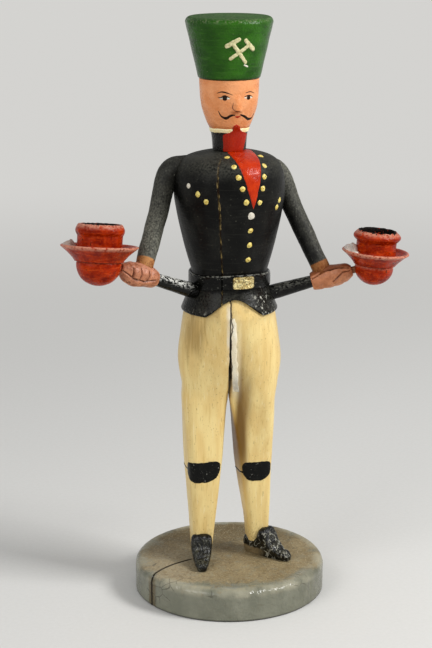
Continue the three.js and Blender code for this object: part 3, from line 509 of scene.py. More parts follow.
def leg_ring(sign, station, arc=np.linspace(0, 1, 72), seam=np.linspace(0, 1, 26)[1:-1]):
    """One section of a leg: its outer three quarters, then the side that faces the other leg."""
    height, outer, depth, inner, hip, lean = station
    half = (arc - 0.5) * math.pi
    around = np.concatenate([half * 1.5, (seam + 1.5) * (math.pi / 2)])
    square_x, square_y = squared(outer, inner, depth, around)
    round_x = inner + np.concatenate([np.cos(half) * (outer - inner), 0 * seam])
    round_y = depth * np.concatenate([np.sin(half), 1 - 2 * seam])
    x = sign * mix(square_x, round_x, hip) + lean
    y = mix(square_y, round_y, hip)
    return np.stack([*twisted(x, y, height), np.full_like(x, ANKLE_Z + height)], 1)


def leg_rings(sign):
    rings = np.stack([leg_ring(sign, s) for s in leg_sections(14)])
    seam = np.array([math.cos(HIP_TWIST), math.sin(HIP_TWIST), 0])
    front = np.array([seam[1], -seam[0], 0])
    depth = rings @ front
    hip = ease(rings[..., 2], CROTCH_Z - 4, CROTCH_Z + 6)
    wander = 1.6 * lumps(rings * [0, 0, 1], 9.0, 2.4)
    edge = hip * np.clip(1 - sign * (rings @ seam) / 1.6, 0, 1) * ease(depth, 8, 18)
    rings = rings + seam * (sign * 0.12 + wander)[..., None] * edge[..., None]
    rings = rings - front * (0.6 * edge ** 2)[..., None]
    rings = rings[:, ::sign]
    centre = rings.mean(1, keepdims=True) * [1, 1, 0]
    return centre + pushed(rings - centre, 0.16 * lumps(rings * [1, 1, 0.35], 4.5))


def across_seam(place):
    """Distance from the centre seam, positive on the figure's left."""
    return place.axis("X") * math.cos(HIP_TWIST) + place.axis("Y") * math.sin(HIP_TWIST)


def open_seam(place):
    """1 in the wavering dark line of the open seam."""
    wave = (place.grain(7, (9, 9, 1), shift=15) - 0.5) * 5
    return (across_seam(place) - 0.5 + wave).absolute().ramp(0.55, 0.25)


trousers = Finish("brushed_yellow_paint")
place = trousers.place
height = place.axis("Z")
sideways = place.axis("X")
streaks = place.grain(1.1, (1, 1, 22), detail=4.0)
broad = place.grain(6, (1, 1, 4), detail=4.0, shift=5)
fleck = place.grain(0.8, (1, 1, 1.6), detail=2.0, shift=11)
hairs = place.grain(0.7, (1, 1, 16), detail=1.0, shift=21)
trousers.ground(broad.ramp(0.32, 0.7), "e6c680", "f1d894")
trousers.over(streaks.ramp(0.54, 0.74) * 0.4, "c9a252")
trousers.over(streaks.ramp(0.42, 0.25) * 0.5, "f8e8b8")
trousers.over(fleck.ramp(0.66, 0.74) * 0.65, "93703a")
trousers.over(hairs.ramp(0.72, 0.76) * 0.5, "8a6a34")
# A brown, darker patch on the right hip below the skirt.
hip_dark_patch = place.near(HIP_DARK_AT, HIP_DARK_REACH) + (broad - 0.5) * 1.1 + (streaks - 0.5) * 0.5
trousers.over(hip_dark_patch.ramp(0.3, 0.95) * 0.62, "94702f")
# Darker brown under the coat's hem: paint smears, and painted shade from the skirt.
trousers.over(height.ramp(HEM_Z - 7, HEM_Z + 4) * broad.ramp(0.42, 0.62) * 0.6, "9a7437")
# Painted shade: the inner face of the left leg, from the knee up, is dark ochre.
inner_side_shade = trousers.facing("X").ramp(0.1, -0.4) * sideways.ramp(-1, 2) * sideways.ramp(12, 5.5)
trousers.over(inner_side_shade * height.ramp(50, 95) * 0.95, "74500f")
trousers.over(height.ramp(46, 30) * fleck.ramp(0.4, 0.6) * 0.4, "8f7440")
across = across_seam(place)
in_front = place.axis("Y").ramp(0, -3)
filled = (across + broad * 3 - 1.5).ramp(8, 2.5) * across.ramp(-1.6, 0)
filled = filled * height.ramp(122, 138) * height.ramp(190, 165) * in_front
trousers.over(filled * 0.7, "d8cdb4")
beside = across.ramp(-3.4, -1.6) * across.ramp(1, 0) * height.ramp(150, 163) * height.ramp(192, 184)
trousers.over(beside * in_front * broad.ramp(0.25, 0.5) * 0.8, "e8dfc8")
trousers.over(open_seam(place) * in_front * height.ramp(137, 141) * 0.9, "3a2a12")
bumps = streaks * 0.14 + broad * 0.2 + fleck * 0.05
trousers.done(streaks * 0.2 + fleck * 0.15 + 0.22, bumps, Specular_IOR_Level=0.35)
for side, sign in SIDES.items():
    piece(f"{side}_trouser_leg", skin(leg_rings(sign)), trousers, "trouser_paint", f"{side}_leg")

# Knee leathers: a black patch on the front of each knee, almost flat on top and rounded below, with
# a thin strap round the leg, in thick black gloss over the yellow.
KNEE_CORNER = 0.7
STRAP_HALF_WIDTH = 0.55
STRAP_REACH = 24
# For each knee: middle from the leg's front, half width, low and high edge, height of the strap
KNEES = {"right": (3.9, 12.2, 73.2, 86.9, 80.5), "left": (0.2, 9.7, 71.2, 84.2, 77.5)}


def unit(vectors):
    return vectors / np.linalg.norm(vectors, axis=-1, keepdims=True)


def film(grid, inside, rise, edge, sink=0.35):
    """A thin closed film over the part of a grid of surface points that lies in an outline.

    inside is the distance in mm from the outline, negative outside it. The film comes out of the
    surface at the outline and is full height an edge's width further in.
    """
    normal = unit(np.cross(np.gradient(grid, axis=1), np.gradient(grid, axis=0)))
    share = np.clip(inside / edge, -0.5, 1)
    root = min(rise, 0.6)
    lift = np.where(share > 0, rise * np.sin(np.maximum(share, 0) * math.pi / 2) ** 0.8, root * share)
    top = (grid + normal * lift[..., None]).reshape(-1, 3)
    low = (grid - normal * (sink + 0.5 * root)).reshape(-1, 3)
    count = len(top)
    index = np.arange(count).reshape(grid.shape[:2])
    quads = np.stack([index[:-1, :-1], index[:-1, 1:], index[1:, 1:], index[1:, :-1]], 2).reshape(-1, 4)
    quads = quads[(inside.reshape(-1)[quads] > -0.5 * edge).all(1)]
    edges = {(a, b) for q in quads.tolist() for a, b in zip(q, q[1:] + q[:1])}
    rim = [(a, b) for a, b in sorted(edges) if (b, a) not in edges]
    faces = quads.tolist() + (quads[:, ::-1] + count).tolist()
    faces += [[a, a + count, b + count, b] for a, b in rim]
    used = np.unique(np.concatenate([quads.reshape(-1), quads.reshape(-1) + count]))
    place_of = {old: new for new, old in enumerate(used.tolist())}
    return np.vstack([top, low])[used], [[place_of[i] for i in f] for f in faces]


def together(solids):
    """Several solids as the points and faces of one mesh."""
    points, faces, start = [], [], 0
    for part_points, part_faces in solids:
        points.append(part_points)
        faces += [[i + start for i in f] for f in part_faces]
        start += len(part_points)
    return np.vstack(points), faces


def leg_surface(sign, turns, heights):
    """Grid of points on the square part of a leg, by angle round it (0 outward, -90 front)."""
    stations = leg_sections(14)
    rows = [np.interp(heights - ANKLE_Z, stations[:, 0], stations[:, k]) for k in (1, 2, 3, 5)]
    outer, depth, inner, lean = (r[:, None] for r in rows)
    x, y = squared(outer, inner, depth, np.radians(turns)[None, :])
    x = sign * x + lean
    return np.stack([*twisted(x, y, heights[:, None] - ANKLE_Z), heights[:, None] + 0 * x], 2)


def knee_patch(sign, middle, half, low, high, strap_z):
    turns = np.linspace(-225, 135, 300)
    heights = np.linspace(low - 3, high + 3, 90)
    grid = leg_surface(sign, turns, heights)
    lengths = np.linalg.norm(np.diff(grid, axis=1), axis=2)
    across = np.hstack([np.zeros((len(heights), 1)), np.cumsum(lengths, axis=1)])
    front = np.argmin(np.abs(turns + 90))
    across = across - across[:, front:front + 1] - middle
    up = heights[:, None] + 0.55 * lumps(grid, 2.6, 4.3)
    share = np.clip(np.abs(across) / half, 0, 1)
    corner = mix(low, high, KNEE_CORNER)
    top_line = corner + (high - corner) * (1 - share ** 7) ** 0.5
    floor_line = corner - (corner - low) * (1 - share ** 2.8) ** 0.5
    inside = np.minimum(np.minimum(top_line - up, up - floor_line), half - np.abs(across))
    strap = STRAP_HALF_WIDTH - np.abs(up - strap_z - 0.05 * across)
    strap = np.minimum(strap, np.minimum(STRAP_REACH - np.abs(across), -sign * across))
    return film(grid[:, ::sign], np.maximum(inside, strap)[:, ::sign], 0.32, 0.5)


black_gloss = Finish("glossy_black_paint")
place = black_gloss.place
ripple = place.grain(2.4, detail=4.0)
glint_noise = place.grain(0.9, (1, 1, 1.6), detail=5.0, shift=4)
black_gloss.ground(ripple.ramp(0.4, 0.75), "060605", "12120f")
# Painted highlights: small pale specks stand for glints on the gloss.
black_gloss.over(glint_noise.ramp(0.66, 0.73) * 0.7, "a5a49b")
black_gloss.done(ripple * 0.3 + 0.04, ripple * 0.5 + glint_noise * 0.12, Specular_IOR_Level=0.14)
knees = together([knee_patch(sign, *KNEES[side]) for side, sign in SIDES.items()])
piece("knee_leathers", knees, black_gloss, "shoe_paint")

# Seam filler: pale putty pressed into the front of the opened seam, wider and dirtier toward the
# crotch, and left unpainted. The seam has opened again beside it.
FILLER_LOW_WIDTH = 5.4
FILLER_TOP_WIDTH = 1.9

putty = Finish("pale_putty")
place = putty.place
smudge = place.grain(3.2, (1, 1, 2.5), detail=4.0)
crumb = place.grain(0.8, shift=6)
putty.ground(smudge.ramp(0.35, 0.7), "f4e6c6", "fff6de")
putty.over(place.axis("Z").ramp(147, 135) * smudge.ramp(0.35, 0.65) * 0.7, "8f8b80")
putty.over(crumb.ramp(0.6, 0.72) * 0.5, "9a8a66")
putty.over(open_seam(place) * 0.9, "3a2a12")
putty.done(0.8, crumb * 0.3 + smudge * 0.5)


def filler_film():
    stations = leg_sections(30)
    height = stations[:, 0]
    stations = stations[(height > CROTCH_HEIGHT - 5) & (height < HEM_Z - ANKLE_Z + 9)]
    grid = np.stack([leg_ring(1, s, np.linspace(0, 0.22, 48), np.zeros(0)) for s in stations])
    across = grid @ np.array([math.cos(HIP_TWIST), math.sin(HIP_TWIST), 0])
    share = ((stations[:, 0] - CROTCH_HEIGHT) / (LEG_LENGTH - CROTCH_HEIGHT))[:, None]
    width = mix(FILLER_LOW_WIDTH, FILLER_TOP_WIDTH, np.clip(share, 0, 1)) + 1.3 * lumps(grid, 4.0)
    inside = np.minimum(across - GLUE_GAP, width - across)
    return film(grid, np.minimum(inside, (share + 0.03) * 60), 0.22, 0.8)


piece("seam_putty", filler_film(), putty, "filler", "seam_filler")

# Shoes: carved blocks under the trouser legs, each with a tongue that stands up in front of the
# ankle, in thick black gloss with pale painted highlights along its ridges and dust at the left heel.
SHOE_Z = 20.3
ANKLE_SPREAD = 18.3
SHOE_HALF_WIDTH = 8.0
SOLE_SHARE = 0.62
HEEL_TOP = 11.5
TONGUE_AT = 7.9
TONGUE_TOP = 18.0
TOE_HEIGHT = 4.6
TOE_AT = {"right": 24.5, "left": 26.0}
TOE_OUT = {"right": 14.0, "left": 34.0}
WRINKLES = {"right": 0.35, "left": 0.7}
# Each crease: its place along the vamp, depth and width
SHOE_CREASES = ((0.3, 0.8, 1.1), (0.68, 0.7, 0.8))


def full_turn(count, turn=2 * math.pi):
    """Evenly spaced angles once round, in radians unless a turn is given."""
    return np.linspace(0, turn, count, endpoint=False)


def hump(value, width):
    """1 where the value is 0, falling off to nothing within about two widths."""
    return np.exp(-(value / width) ** 2)


def shoe_rings(side, sign):
    toe = TOE_AT[side]
    vamp = toe - TONGUE_AT
    ankle = [(-8, 0.55, 0.75 * HEEL_TOP), (-6.4, 0.82, 0.95 * HEEL_TOP), (-2.4, 0.97, HEEL_TOP)]
    tongue = [(0.5 * TONGUE_AT, 1, HEEL_TOP + 0.6), (0.8 * TONGUE_AT, 1, TONGUE_TOP)]
    slope = ((0.1, 0.96, 0.05), (0.35, 0.86, 0.58), (0.65, 0.66, 0.9), (0.9, 0.56, 1))
    front = [(TONGUE_AT + s * vamp, w, mix(TONGUE_TOP, TOE_HEIGHT, drop)) for s, w, drop in slope]
    stations = curve([*ankle, *tongue, *front, (toe, 0.38, 0.55 * TOE_HEIGHT)], 6)
    forward, width, height = stations.T[..., None]
    around = full_turn(64)
    up = np.clip(power(np.sin(around), 2 / SQUARENESS), 0, 1)
    across = power(np.cos(around), 2 / SQUARENESS) * mix(SOLE_SHARE, 1, up)
    ear = 2.8 * hump(forward - TONGUE_AT, 1.6) * np.abs(across) ** 6
    dip = sum(depth * hump(forward - TONGUE_AT - s * vamp, size) for s, depth, size in SHOE_CREASES)
    x = SHOE_HALF_WIDTH * width * across - 0.35 * hump(up * height - 1.6, 0.5) * np.sign(across)
    rings = np.stack([x, -forward + 0 * x, (height + ear - dip) * up], 2)[:, ::-1]
    swell = WRINKLES[side] * lumps(rings, 3.4, sign * 3.0) + 0.15 * lumps(rings, 1.3, 8.0)
    rise = rings[..., 2] + swell * (rings[..., 2] > 1.5)
    x, y = rotated(rings[..., 0], rings[..., 1], math.radians(sign * TOE_OUT[side]))
    return np.stack([x + sign * ANKLE_SPREAD, y, rise + SHOE_Z], 2)


shoe_gloss = Finish("shoe_gloss_painted_glints")
place = shoe_gloss.place
height = place.axis("Z")
sideways = place.axis("X")
ripple = place.grain(1.7, (1, 2.5, 2.5), detail=4.0)
scratch = place.grain(3.2, (1, 1, 1.4), detail=6.0, shift=4)
shoe_gloss.ground(ripple.ramp(0.35, 0.7), "090906", "201f14")
shoe_gloss.over(shoe_gloss.facing("Z").ramp(0.1, 0.9) * ripple.ramp(0.4, 0.65) * 0.35, "4c4a36")
# Painted highlights: thin pale lines along the ridges, stronger on the figure's left shoe.
ridge_highlights = (scratch - 0.5).absolute().ramp(0.028, 0.008) * ripple.ramp(0.4, 0.55)
shoe_gloss.over(ridge_highlights * (sideways.ramp(-5, 20) * 0.65 + 0.2), "b5b3a4")
shoe_gloss.over(height.ramp(SHOE_Z + 15.2, SHOE_Z + 16.4), "050504")
crusted = sideways.ramp(21, 15) * sideways.ramp(2, 6) * place.axis("Y").ramp(-20, -14)
crusted = crusted * (height + ripple * 3).ramp(SHOE_Z + 7, SHOE_Z + 5.4)
shoe_gloss.over(crusted * 0.92, "857453")
bumps = ripple * 1.2 + scratch * 0.8
shoe_gloss.done(ripple * 0.2 + crusted * 0.6 + 0.1, bumps, Specular_IOR_Level=0.35)
for side, sign in SIDES.items():
    piece(f"{side}_black_shoe", skin(shoe_rings(side, sign)), shoe_gloss, "shoe_paint", f"{side}_shoe")

# Coat: one turned body from the neck to a flared, hollow skirt whose hem is cut away in front, in
# black paint gone grey with dust on the shoulders. A long split runs down its right front.
WAIST_Z = 195.5
BELT_Z = 198.4
BELT_TOP = 207.4
NECK_Z = 279.5
WAIST_RADIUS = 23.3
HEM_CUT_RISE = 10.5
HEM_CUT_ANGLE = -8.0
HEM_CUT_HALF_ANGLE = 38.0
COAT_SPLIT_ANGLE = -26.0
COAT_SPLIT_TOP_ANGLE = -28.6
COAT_SPLIT_TOP_Z = 274.0
COAT_SPLIT_BEND_Z = 249.0
SKIRT_SCUFF_AT = (16, -24, 190)
SKIRT_SCUFF_REACH = (13, 13, 11)
CHEST_POINTS = ((WAIST_RADIUS, BELT_TOP), (28.6, 227), (33.6, 256), (28.6, 273.5), (9.5, NECK_Z))
CHEST = curve(CHEST_POINTS, 24, even=True)


def skirt_radius(height):
    return mix(HEM_RADIUS, SKIRT_TOP_RADIUS, (height - HEM_Z) / SKIRT_LENGTH)


def coat_radius(height):
    levels = [WAIST_Z, BELT_Z, *CHEST[:, 1]]
    body = np.interp(height, levels, [SKIRT_TOP_RADIUS, WAIST_RADIUS, *CHEST[:, 0]])
    return np.where(height < WAIST_Z, skirt_radius(np.minimum(height, WAIST_Z)), body)


def axis_distance(points):
    return np.linalg.norm(points[..., :2], axis=-1)


def opened(rings, columns, depth, half_width):
    """Rings round the figure's axis with a split at column 0 cut into them."""
    wander = 0.2 * lumps(rings[:, :1], 6.0, 5.0)
    radius = axis_distance(rings)
    arc = np.abs((columns + 180) % 360 - 180) * math.radians(1) * radius
    ragged = half_width * (1 + 0.5 * lumps(rings[:, :1] + 50, 3.0))
    return pushed(rings, -depth * np.clip(1 - np.abs(arc - wander) / ragged, 0, 1))


def coat_rings():
    columns = around_split(3.0, 1.5)
    turn = columns + COAT_SPLIT_ANGLE
    front = np.abs((turn + 180) % 360 - 180 - HEM_CUT_ANGLE)
    share = np.clip(1 - front / HEM_CUT_HALF_ANGLE, 0, 1)
    hem = HEM_Z + HEM_CUT_RISE * np.sin(share * math.pi / 2) ** 1.3
    levels = [(w, SKIRT_WALL) for w in (1, 0.6, 0.3, 0.1)] + [(0.02, 1.2), (0, 0.8), (0.02, 0.3)]
    levels += [(w, 0) for w in np.linspace(0.06, 1, 16)]
    rise, wall = np.array(levels).T[..., None]
    skirt_top = WAIST_Z - 0.1
    height = mix(hem, skirt_top, rise)
    skirt = around_axis(skirt_radius(height) - wall, turn, height)
    ceiling = turned([((SKIRT_TOP_RADIUS - SKIRT_WALL) * 0.2, skirt_top)], turn)
    waist = np.linspace(WAIST_Z + 0.6, BELT_TOP - 0.5, 6)
    profile = np.vstack([np.stack([coat_radius(waist), waist], 1), CHEST[:-1]])
    bend = [COAT_SPLIT_BEND_Z, COAT_SPLIT_TOP_Z]
    split = np.interp(profile[:, 1:], bend, [COAT_SPLIT_ANGLE, COAT_SPLIT_TOP_ANGLE])
    rings = np.concatenate([ceiling, skirt, turned(profile, columns + split)])
    worn = 0.14 * lumps(rings * [1, 1, 0.5], 6.0) + 0.05 * lumps(rings, 1.8, 3.0)
    rings = pushed(rings, worn)
    return opened(rings, columns, 0.8 * ease(COAT_SPLIT_TOP_Z - rings[..., 2], -2, 6), 0.5)


coat_paint = Finish("dusty_black_paint")
place = coat_paint.place
height = place.axis("Z")
cloud = place.grain(11, detail=5.0)
dusty_spots = place.grain(1.1, detail=4.0, shift=2)
lathe = place.grain(1.0, (14, 14, 1), shift=7)
dust = coat_paint.facing("Z").ramp(0.05, 0.75) * 0.6 + cloud * 0.5 - 0.24
dust = dust * dusty_spots.ramp(0.25, 0.7)
coat_paint.ground(cloud.ramp(0.35, 0.7), "060605", "0f0f0d")
coat_paint.over(dust * 0.7, "5f5e54")
coat_paint.over(lathe.ramp(0.56, 0.75) * 0.3, "2f2f29")
coat_paint.over(dusty_spots.ramp(0.66, 0.74) * 0.5, "5d5c50")
split_line = height.line(COAT_SPLIT_BEND_Z, COAT_SPLIT_TOP_Z, COAT_SPLIT_ANGLE, COAT_SPLIT_TOP_ANGLE)
beside = (place.angle() - split_line).absolute()
raw = place.grain(1.5, (1, 1, 2.4), shift=12)
flaked = beside.ramp(2.0, 0.7) * raw.ramp(0.56, 0.66) * 0.8 + beside.ramp(1.0, 0.5) * 0.4
bare_wood = raw.ramp(0.4, 0.6).paint(tint("4a3226"), tint("a08a58"))
coat_paint.colour = (flaked * height.ramp(279, 272)).paint(coat_paint.colour, bare_wood)
scuffed = place.grain(1.6, (1, 1, 1.5), detail=4.0, shift=15).ramp(0.55, 0.68)
by_hem = place.near(SKIRT_SCUFF_AT, SKIRT_SCUFF_REACH) * 1.6 + height.ramp(HEM_Z + 5, HEM_Z) * 0.5
coat_paint.over(by_hem * scuffed, "b5b4a8")
dull = dust * 0.5 + lathe * 0.15 + height.ramp(HEM_Z + 8, 215) * 0.2 + 0.14
coat_paint.done(dull, lathe * 0.16 + dusty_spots * 0.12 + cloud * 0.3, Specular_IOR_Level=0.13)
piece("coat_body", skin(coat_rings()), coat_paint, "coat_paint", "coat")

# Red waistcoat: the wedge of red paint in the coat's open front, from the neck to a point above the
# buttons, thick and glossy.
WEDGE_POINT_X = 5.4
WEDGE_POINT_Z = 248.4
WEDGE_TOP_Z = 274.0
WEDGE_RIGHT_TOP = -2.3
WEDGE_LEFT_TOP = 11.8


def wedge_edges(height):
    """The red wedge's edges at a height, on the figure's right and on its left."""
    share = np.clip((height - WEDGE_POINT_Z) / (WEDGE_TOP_Z - WEDGE_POINT_Z), -0.2, 1.3)
    right = mix(WEDGE_POINT_X, WEDGE_RIGHT_TOP, share)
    return right, mix(WEDGE_POINT_X, WEDGE_LEFT_TOP, power(share, 0.85))


def chest_profile(steps, along):
    """Profile points of the chest at these steps, where along gives the step of each of its rows."""
    return np.stack([np.interp(steps, along, CHEST[:, k]) for k in (0, 1)], 1)


def red_wedge():
    rows = np.arange(len(CHEST))
    profile = chest_profile(np.linspace(0.42, 0.995, 110) * rows[-1], rows)
    grid = turned(profile, np.linspace(-50, 80, 200))
    right, left = wedge_edges(grid[..., 2])
    inside = 0.9 * np.minimum(grid[..., 0] - right, left - grid[..., 0]) + 0.25 * lumps(grid, 2.0, 6.0)
    return film(grid, np.minimum(inside, -grid[..., 1] - 2.0), 0.35, 0.7)


red_gloss = Finish("thick_red_paint")
place = red_gloss.place
brush = place.grain(1.3, (1, 1, 3), detail=4.0)
shade = place.grain(5, detail=4.0, shift=3)
red_gloss.ground(shade.ramp(0.3, 0.7), "a92205", "c63609")
# Painted shade: the red is darker above the coat's neck, on the neckcloth under the chin.
red_gloss.over(place.axis("Z").ramp(277, 281) * 0.75, "9c1902")
red_gloss.over(brush.ramp(0.62, 0.75) * 0.6, "7d1403")
red_gloss.done(brush * 0.3 + 0.1, brush * 0.3 + shade * 0.5, Specular_IOR_Level=0.18)
piece("red_waistcoat", red_wedge(), red_gloss, "cup_paint")

# Buttons: thick yellow dots of paint along both edges of the wedge, in a row below it and in short
# slanting rows on the chest. Two have lost their yellow and show white ground.
BUTTON_RADIUS = 1.6
WEDGE_BUTTONS_Z = np.array([277.6, 273.6, 267.8, 261.2, 253.0])
FRONT_BUTTONS_Z = (235.4, 226.3, 217.0)
RIGHT_CHEST_ROW = (-29.4, 261.4)
LEFT_CHEST_ROW = (24.8, 251.4)


def button(x, height, radius=BUTTON_RADIUS, shift=0.0, rise=0.65):
    """A dome of paint on the coat's front, at a distance x from its middle."""
    at = float(np.interp(height, CHEST[:, 1], CHEST[:, 0]))
    turn = math.degrees(math.asin(x / at))
    spread = math.degrees(radius * 1.5 / at)
    span = np.concatenate([[0], np.cumsum(np.linalg.norm(np.diff(CHEST, axis=0), axis=1))])
    middle = np.interp(height, CHEST[:, 1], span)
    profile = chest_profile(np.linspace(middle - 1.5 * radius, middle + 1.5 * radius, 15), span)
    grid = turned(profile, np.linspace(turn - spread, turn + spread, 15))
    centre = turned([(at, height)], [turn])[0, 0]
    away = np.linalg.norm(grid - centre, axis=2) + 0.35 * lumps(grid, 1.6, shift)
    return film(grid, radius - away, rise, radius)


def button_rows(**shape):
    right, left = wedge_edges(WEDGE_BUTTONS_Z)
    places = [*zip(right - 3.0, WEDGE_BUTTONS_Z), *zip(left + 2.6, WEDGE_BUTTONS_Z - 0.6)]
    places += [(4.5, z) for z in FRONT_BUTTONS_Z]
    places += [(RIGHT_CHEST_ROW[0] + 4 * i, RIGHT_CHEST_ROW[1] - 4.1 * i) for i in (1, 2)]
    places += [(LEFT_CHEST_ROW[0] - 2.2 * i, LEFT_CHEST_ROW[1] - 4 * i) for i in (0, 1)]
    return together([button(x, z, **shape) for x, z in places])


def daub(name, size, edges, dark, pale, relief, spots=None, detail=3.0, dull=0.3, **constants):
    """A mottled paint for small trim, with spots of a third colour where they are given."""
    paint = Finish(name)
    mottle = paint.place.grain(size, detail=detail)
    paint.ground(mottle.ramp(*edges), dark, pale)
    if spots:
        low, high, code = spots
        paint.over(mottle.ramp(low, high) * 0.6, code)
    paint.done(mottle * 0.3 + dull, mottle * relief, **constants)
    return paint


worn_off = (0.62, 0.74, "7a5a1c")
yellow = daub("yellow_dots", 1.3, (0.35, 0.6), "cfae46", "f1df80", 0.4, worn_off, dull=0.25)
piece("coat_buttons", button_rows(), yellow, "gold_paint")
brown_dot = daub("brown_button_dots", 1.0, (0.35, 0.65), "6b4a1c", "9a742f", 0.3)
piece("button_dots", button_rows(radius=0.6, rise=0.78), brown_dot, "gold_paint")
chalk = Finish("white_ground")
powder = chalk.place.grain(0.9, detail=4.0)
chalk.ground(powder.ramp(0.35, 0.65), "cfc7b4", "efe8d8")
chalk.done(0.75, powder * 0.3)
bare = together([button(4.3, 244.7, 2.2, 3.0), button(*RIGHT_CHEST_ROW, 1.5, 5.0)])
piece("bare_buttons", bare, chalk, "filler")

# Belt: a raised band turned round the waist, with softened edges, in black gloss that is pale along
# its upper edge, partly rubbed and partly a painted highlight. The coat's split runs on through it.
BELT_LOW = 198.7
BELT_INNER = 23.6
BELT_RADIUS = 24.9
BELT_EDGE = 0.65
BELT_SAG = 2.2
BELT_BULGE = 0.15

belt_paint = Finish("rubbed_and_highlit_black_gloss")
place = belt_paint.place
ripple = place.grain(3.0, (2, 2, 1), detail=4.0)
scratch = place.grain(0.8, (2.5, 2.5, 1), detail=5.0, shift=5)
height = place.axis("Z") + place.axis("X") * place.axis("X") * (BELT_SAG / BELT_RADIUS ** 2)
# Pale along the upper edge: rubbed paint and a painted highlight.
rubbed = height.ramp(BELT_TOP - 1.2, BELT_TOP - 0.2) * height.ramp(BELT_TOP + 3, BELT_TOP + 1)
belt_paint.ground(ripple.ramp(0.4, 0.75), "050504", "11110e")
belt_paint.over(rubbed * scratch.ramp(0.45, 0.6) * 0.7, "8b8a80")
belt_paint.over(scratch.ramp(0.64, 0.72) * 0.6, "8a8980")
belt_paint.done(ripple * 0.3 + 0.06, ripple * 0.5 + scratch * 0.12, Specular_IOR_Level=0.15)


def belt_rings():
    columns = around_split(3.0, 2.0)
    bend = np.linspace(0, math.pi / 2, 5)
    lip = BELT_EDGE * np.stack([np.sin(bend) - 1, 1 - np.cos(bend)], 1)
    lower = np.array([BELT_RADIUS, BELT_LOW]) + lip
    upper = np.array([BELT_RADIUS, BELT_TOP]) + lip[::-1] * [1, -1]
    share = np.array([0.25, 0.5, 0.75])
    face = zip(BELT_RADIUS + BELT_BULGE * np.sin(share * math.pi), mix(BELT_LOW, BELT_TOP, share))
    profile = [(BELT_INNER, BELT_LOW), *lower, *face, *upper, (BELT_INNER, BELT_TOP)]
    rings = turned(profile, columns + COAT_SPLIT_ANGLE)
    rings[..., 2] -= BELT_SAG * (rings[..., 0] / BELT_RADIUS) ** 2
    return opened(pushed(rings, 0.12 * lumps(rings, 4.0)), columns, 0.9, 0.45)


belt = belt_rings()
hoop = (belt.reshape(-1, 3), bands(*belt.shape[:2], closed=True))
piece("black_belt", hoop, belt_paint, "belt_paint", "belt")

# Buckle: a bent plate on the front of the belt, gold bronze over brown, beaten uneven and half
# rubbed away.
BUCKLE_INNER = 25.2
BUCKLE_WIDTH = 13.0
BUCKLE_HEIGHT = 7.2
BUCKLE_THICKNESS = 1.2
BUCKLE_TURN = 4.0
BUCKLE_Z = 202.9
BUCKLE_CORNERS = 0.22
# From the back over the rim to the sunken middle: share of the size, share of the thickness
BUCKLE_STEPS = ((0.05, 0), (1, 0), (1, 0.7), (0.95, 1), (0.82, 1), (0.76, 0.72), (0.5, 0.7), (0.06, 0.8))

gold = Finish("rubbed_gold_bronze")
place = gold.place
beaten = place.grain(2.6, detail=4.0)
speck = place.grain(0.8, detail=4.0, shift=3)
gold.ground(beaten.ramp(0.35, 0.6), "a8893f", "f2e2a6")
gold.over(beaten.ramp(0.4, 0.3) * 0.9, "3a2c12")
gold.over(speck.ramp(0.5, 0.6) * 0.85, "4d3a18")
gold.done(speck * 0.35 + 0.22, beaten * 1.2 + speck * 0.2, Metallic=beaten.ramp(0.3, 0.6) * 0.55)


def buckle_rings():
    around = full_turn(96)
    share, lift = np.array(BUCKLE_STEPS).T[..., None]
    across = power(np.cos(around), BUCKLE_CORNERS) * share * BUCKLE_WIDTH / 2
    turn = BUCKLE_TURN + np.degrees(across / BUCKLE_INNER)
    height = BUCKLE_Z + power(np.sin(around), BUCKLE_CORNERS) * share * BUCKLE_HEIGHT / 2
    beaten = 0.3 * lift * lumps(around_axis(25, turn, height), 2.2)
    return around_axis(BUCKLE_INNER + lift * BUCKLE_THICKNESS + beaten, turn, height)


piece("gold_buckle", skin(buckle_rings()), gold, "gold_paint", "buckle")

# Rods: tapered sticks turned in one piece, from the hip through the hand into the cup, in black
# gloss worn grey on top, with a painted highlight along the top of the right rod as well.
ROD_TURN = math.radians(17)
ROD_RISE = {"right": math.radians(21.5), "left": math.radians(16)}
ROD_Z = {"right": 185.7, "left": 184.2}
ROD_START = 22.5
ROD_TAPER_START = 29.8
ROD_RADIUS = 4.6
ROD_WRIST_RADIUS = 3.7
CUP_REACH = {"right": 90.3, "left": 88.0}
BOWL_RADIUS = {"right": 13.1, "left": 11.7}
HAND_REACH = {"right": 52.5, "left": 50.2}
HAND_LENGTH = 25.5
FIST_ROUNDING_START = 0.7
TENON_DEPTH = 4.0
TENON_RADIUS = 2.2


def rod_frame(side):
    """The rod's start on the figure's axis, and its directions across, upward and along."""
    level, up = math.cos(ROD_RISE[side]), math.sin(ROD_RISE[side])
    along = np.array([SIDES[side] * math.cos(ROD_TURN) * level, -math.sin(ROD_TURN) * level, up])
    across = unit(np.cross([0, 0, 1], along))
    return np.array([0, 0, ROD_Z[side]]), across, np.cross(along, across), along


def on_rod(side, rings):
    start, *directions = rod_frame(side)
    return start + rings @ np.stack(directions)


def tenon_end(side):
    """How far along the rod its tenon ends in the cup."""
    return (CUP_REACH[side] - BOWL_RADIUS[side] + TENON_DEPTH) / math.cos(ROD_RISE[side])


def rod_rings(side, sign):
    level = math.cos(ROD_RISE[side])
    hand = HAND_REACH[side] / level
    taper = ROD_TAPER_START / level
    share = np.linspace(0.1, 1, 10)
    stations = [(ROD_RADIUS, t) for t in np.linspace(ROD_START, ROD_TAPER_START, 4) / level]
    stations += [*zip(mix(ROD_RADIUS, ROD_WRIST_RADIUS, share), mix(taper, hand, share))]
    shoulder = hand + HAND_LENGTH * FIST_ROUNDING_START
    stations += [(ROD_WRIST_RADIUS - 0.1, shoulder - 0.1), (TENON_RADIUS, shoulder)]
    stations += [(TENON_RADIUS, tenon_end(side))]
    rings = turned(stations, full_turn(40, 360))
    return on_rod(side, rings * (1 + 0.03 * lumps(rings, 5.0, sign)[..., None] * [1, 1, 0]))


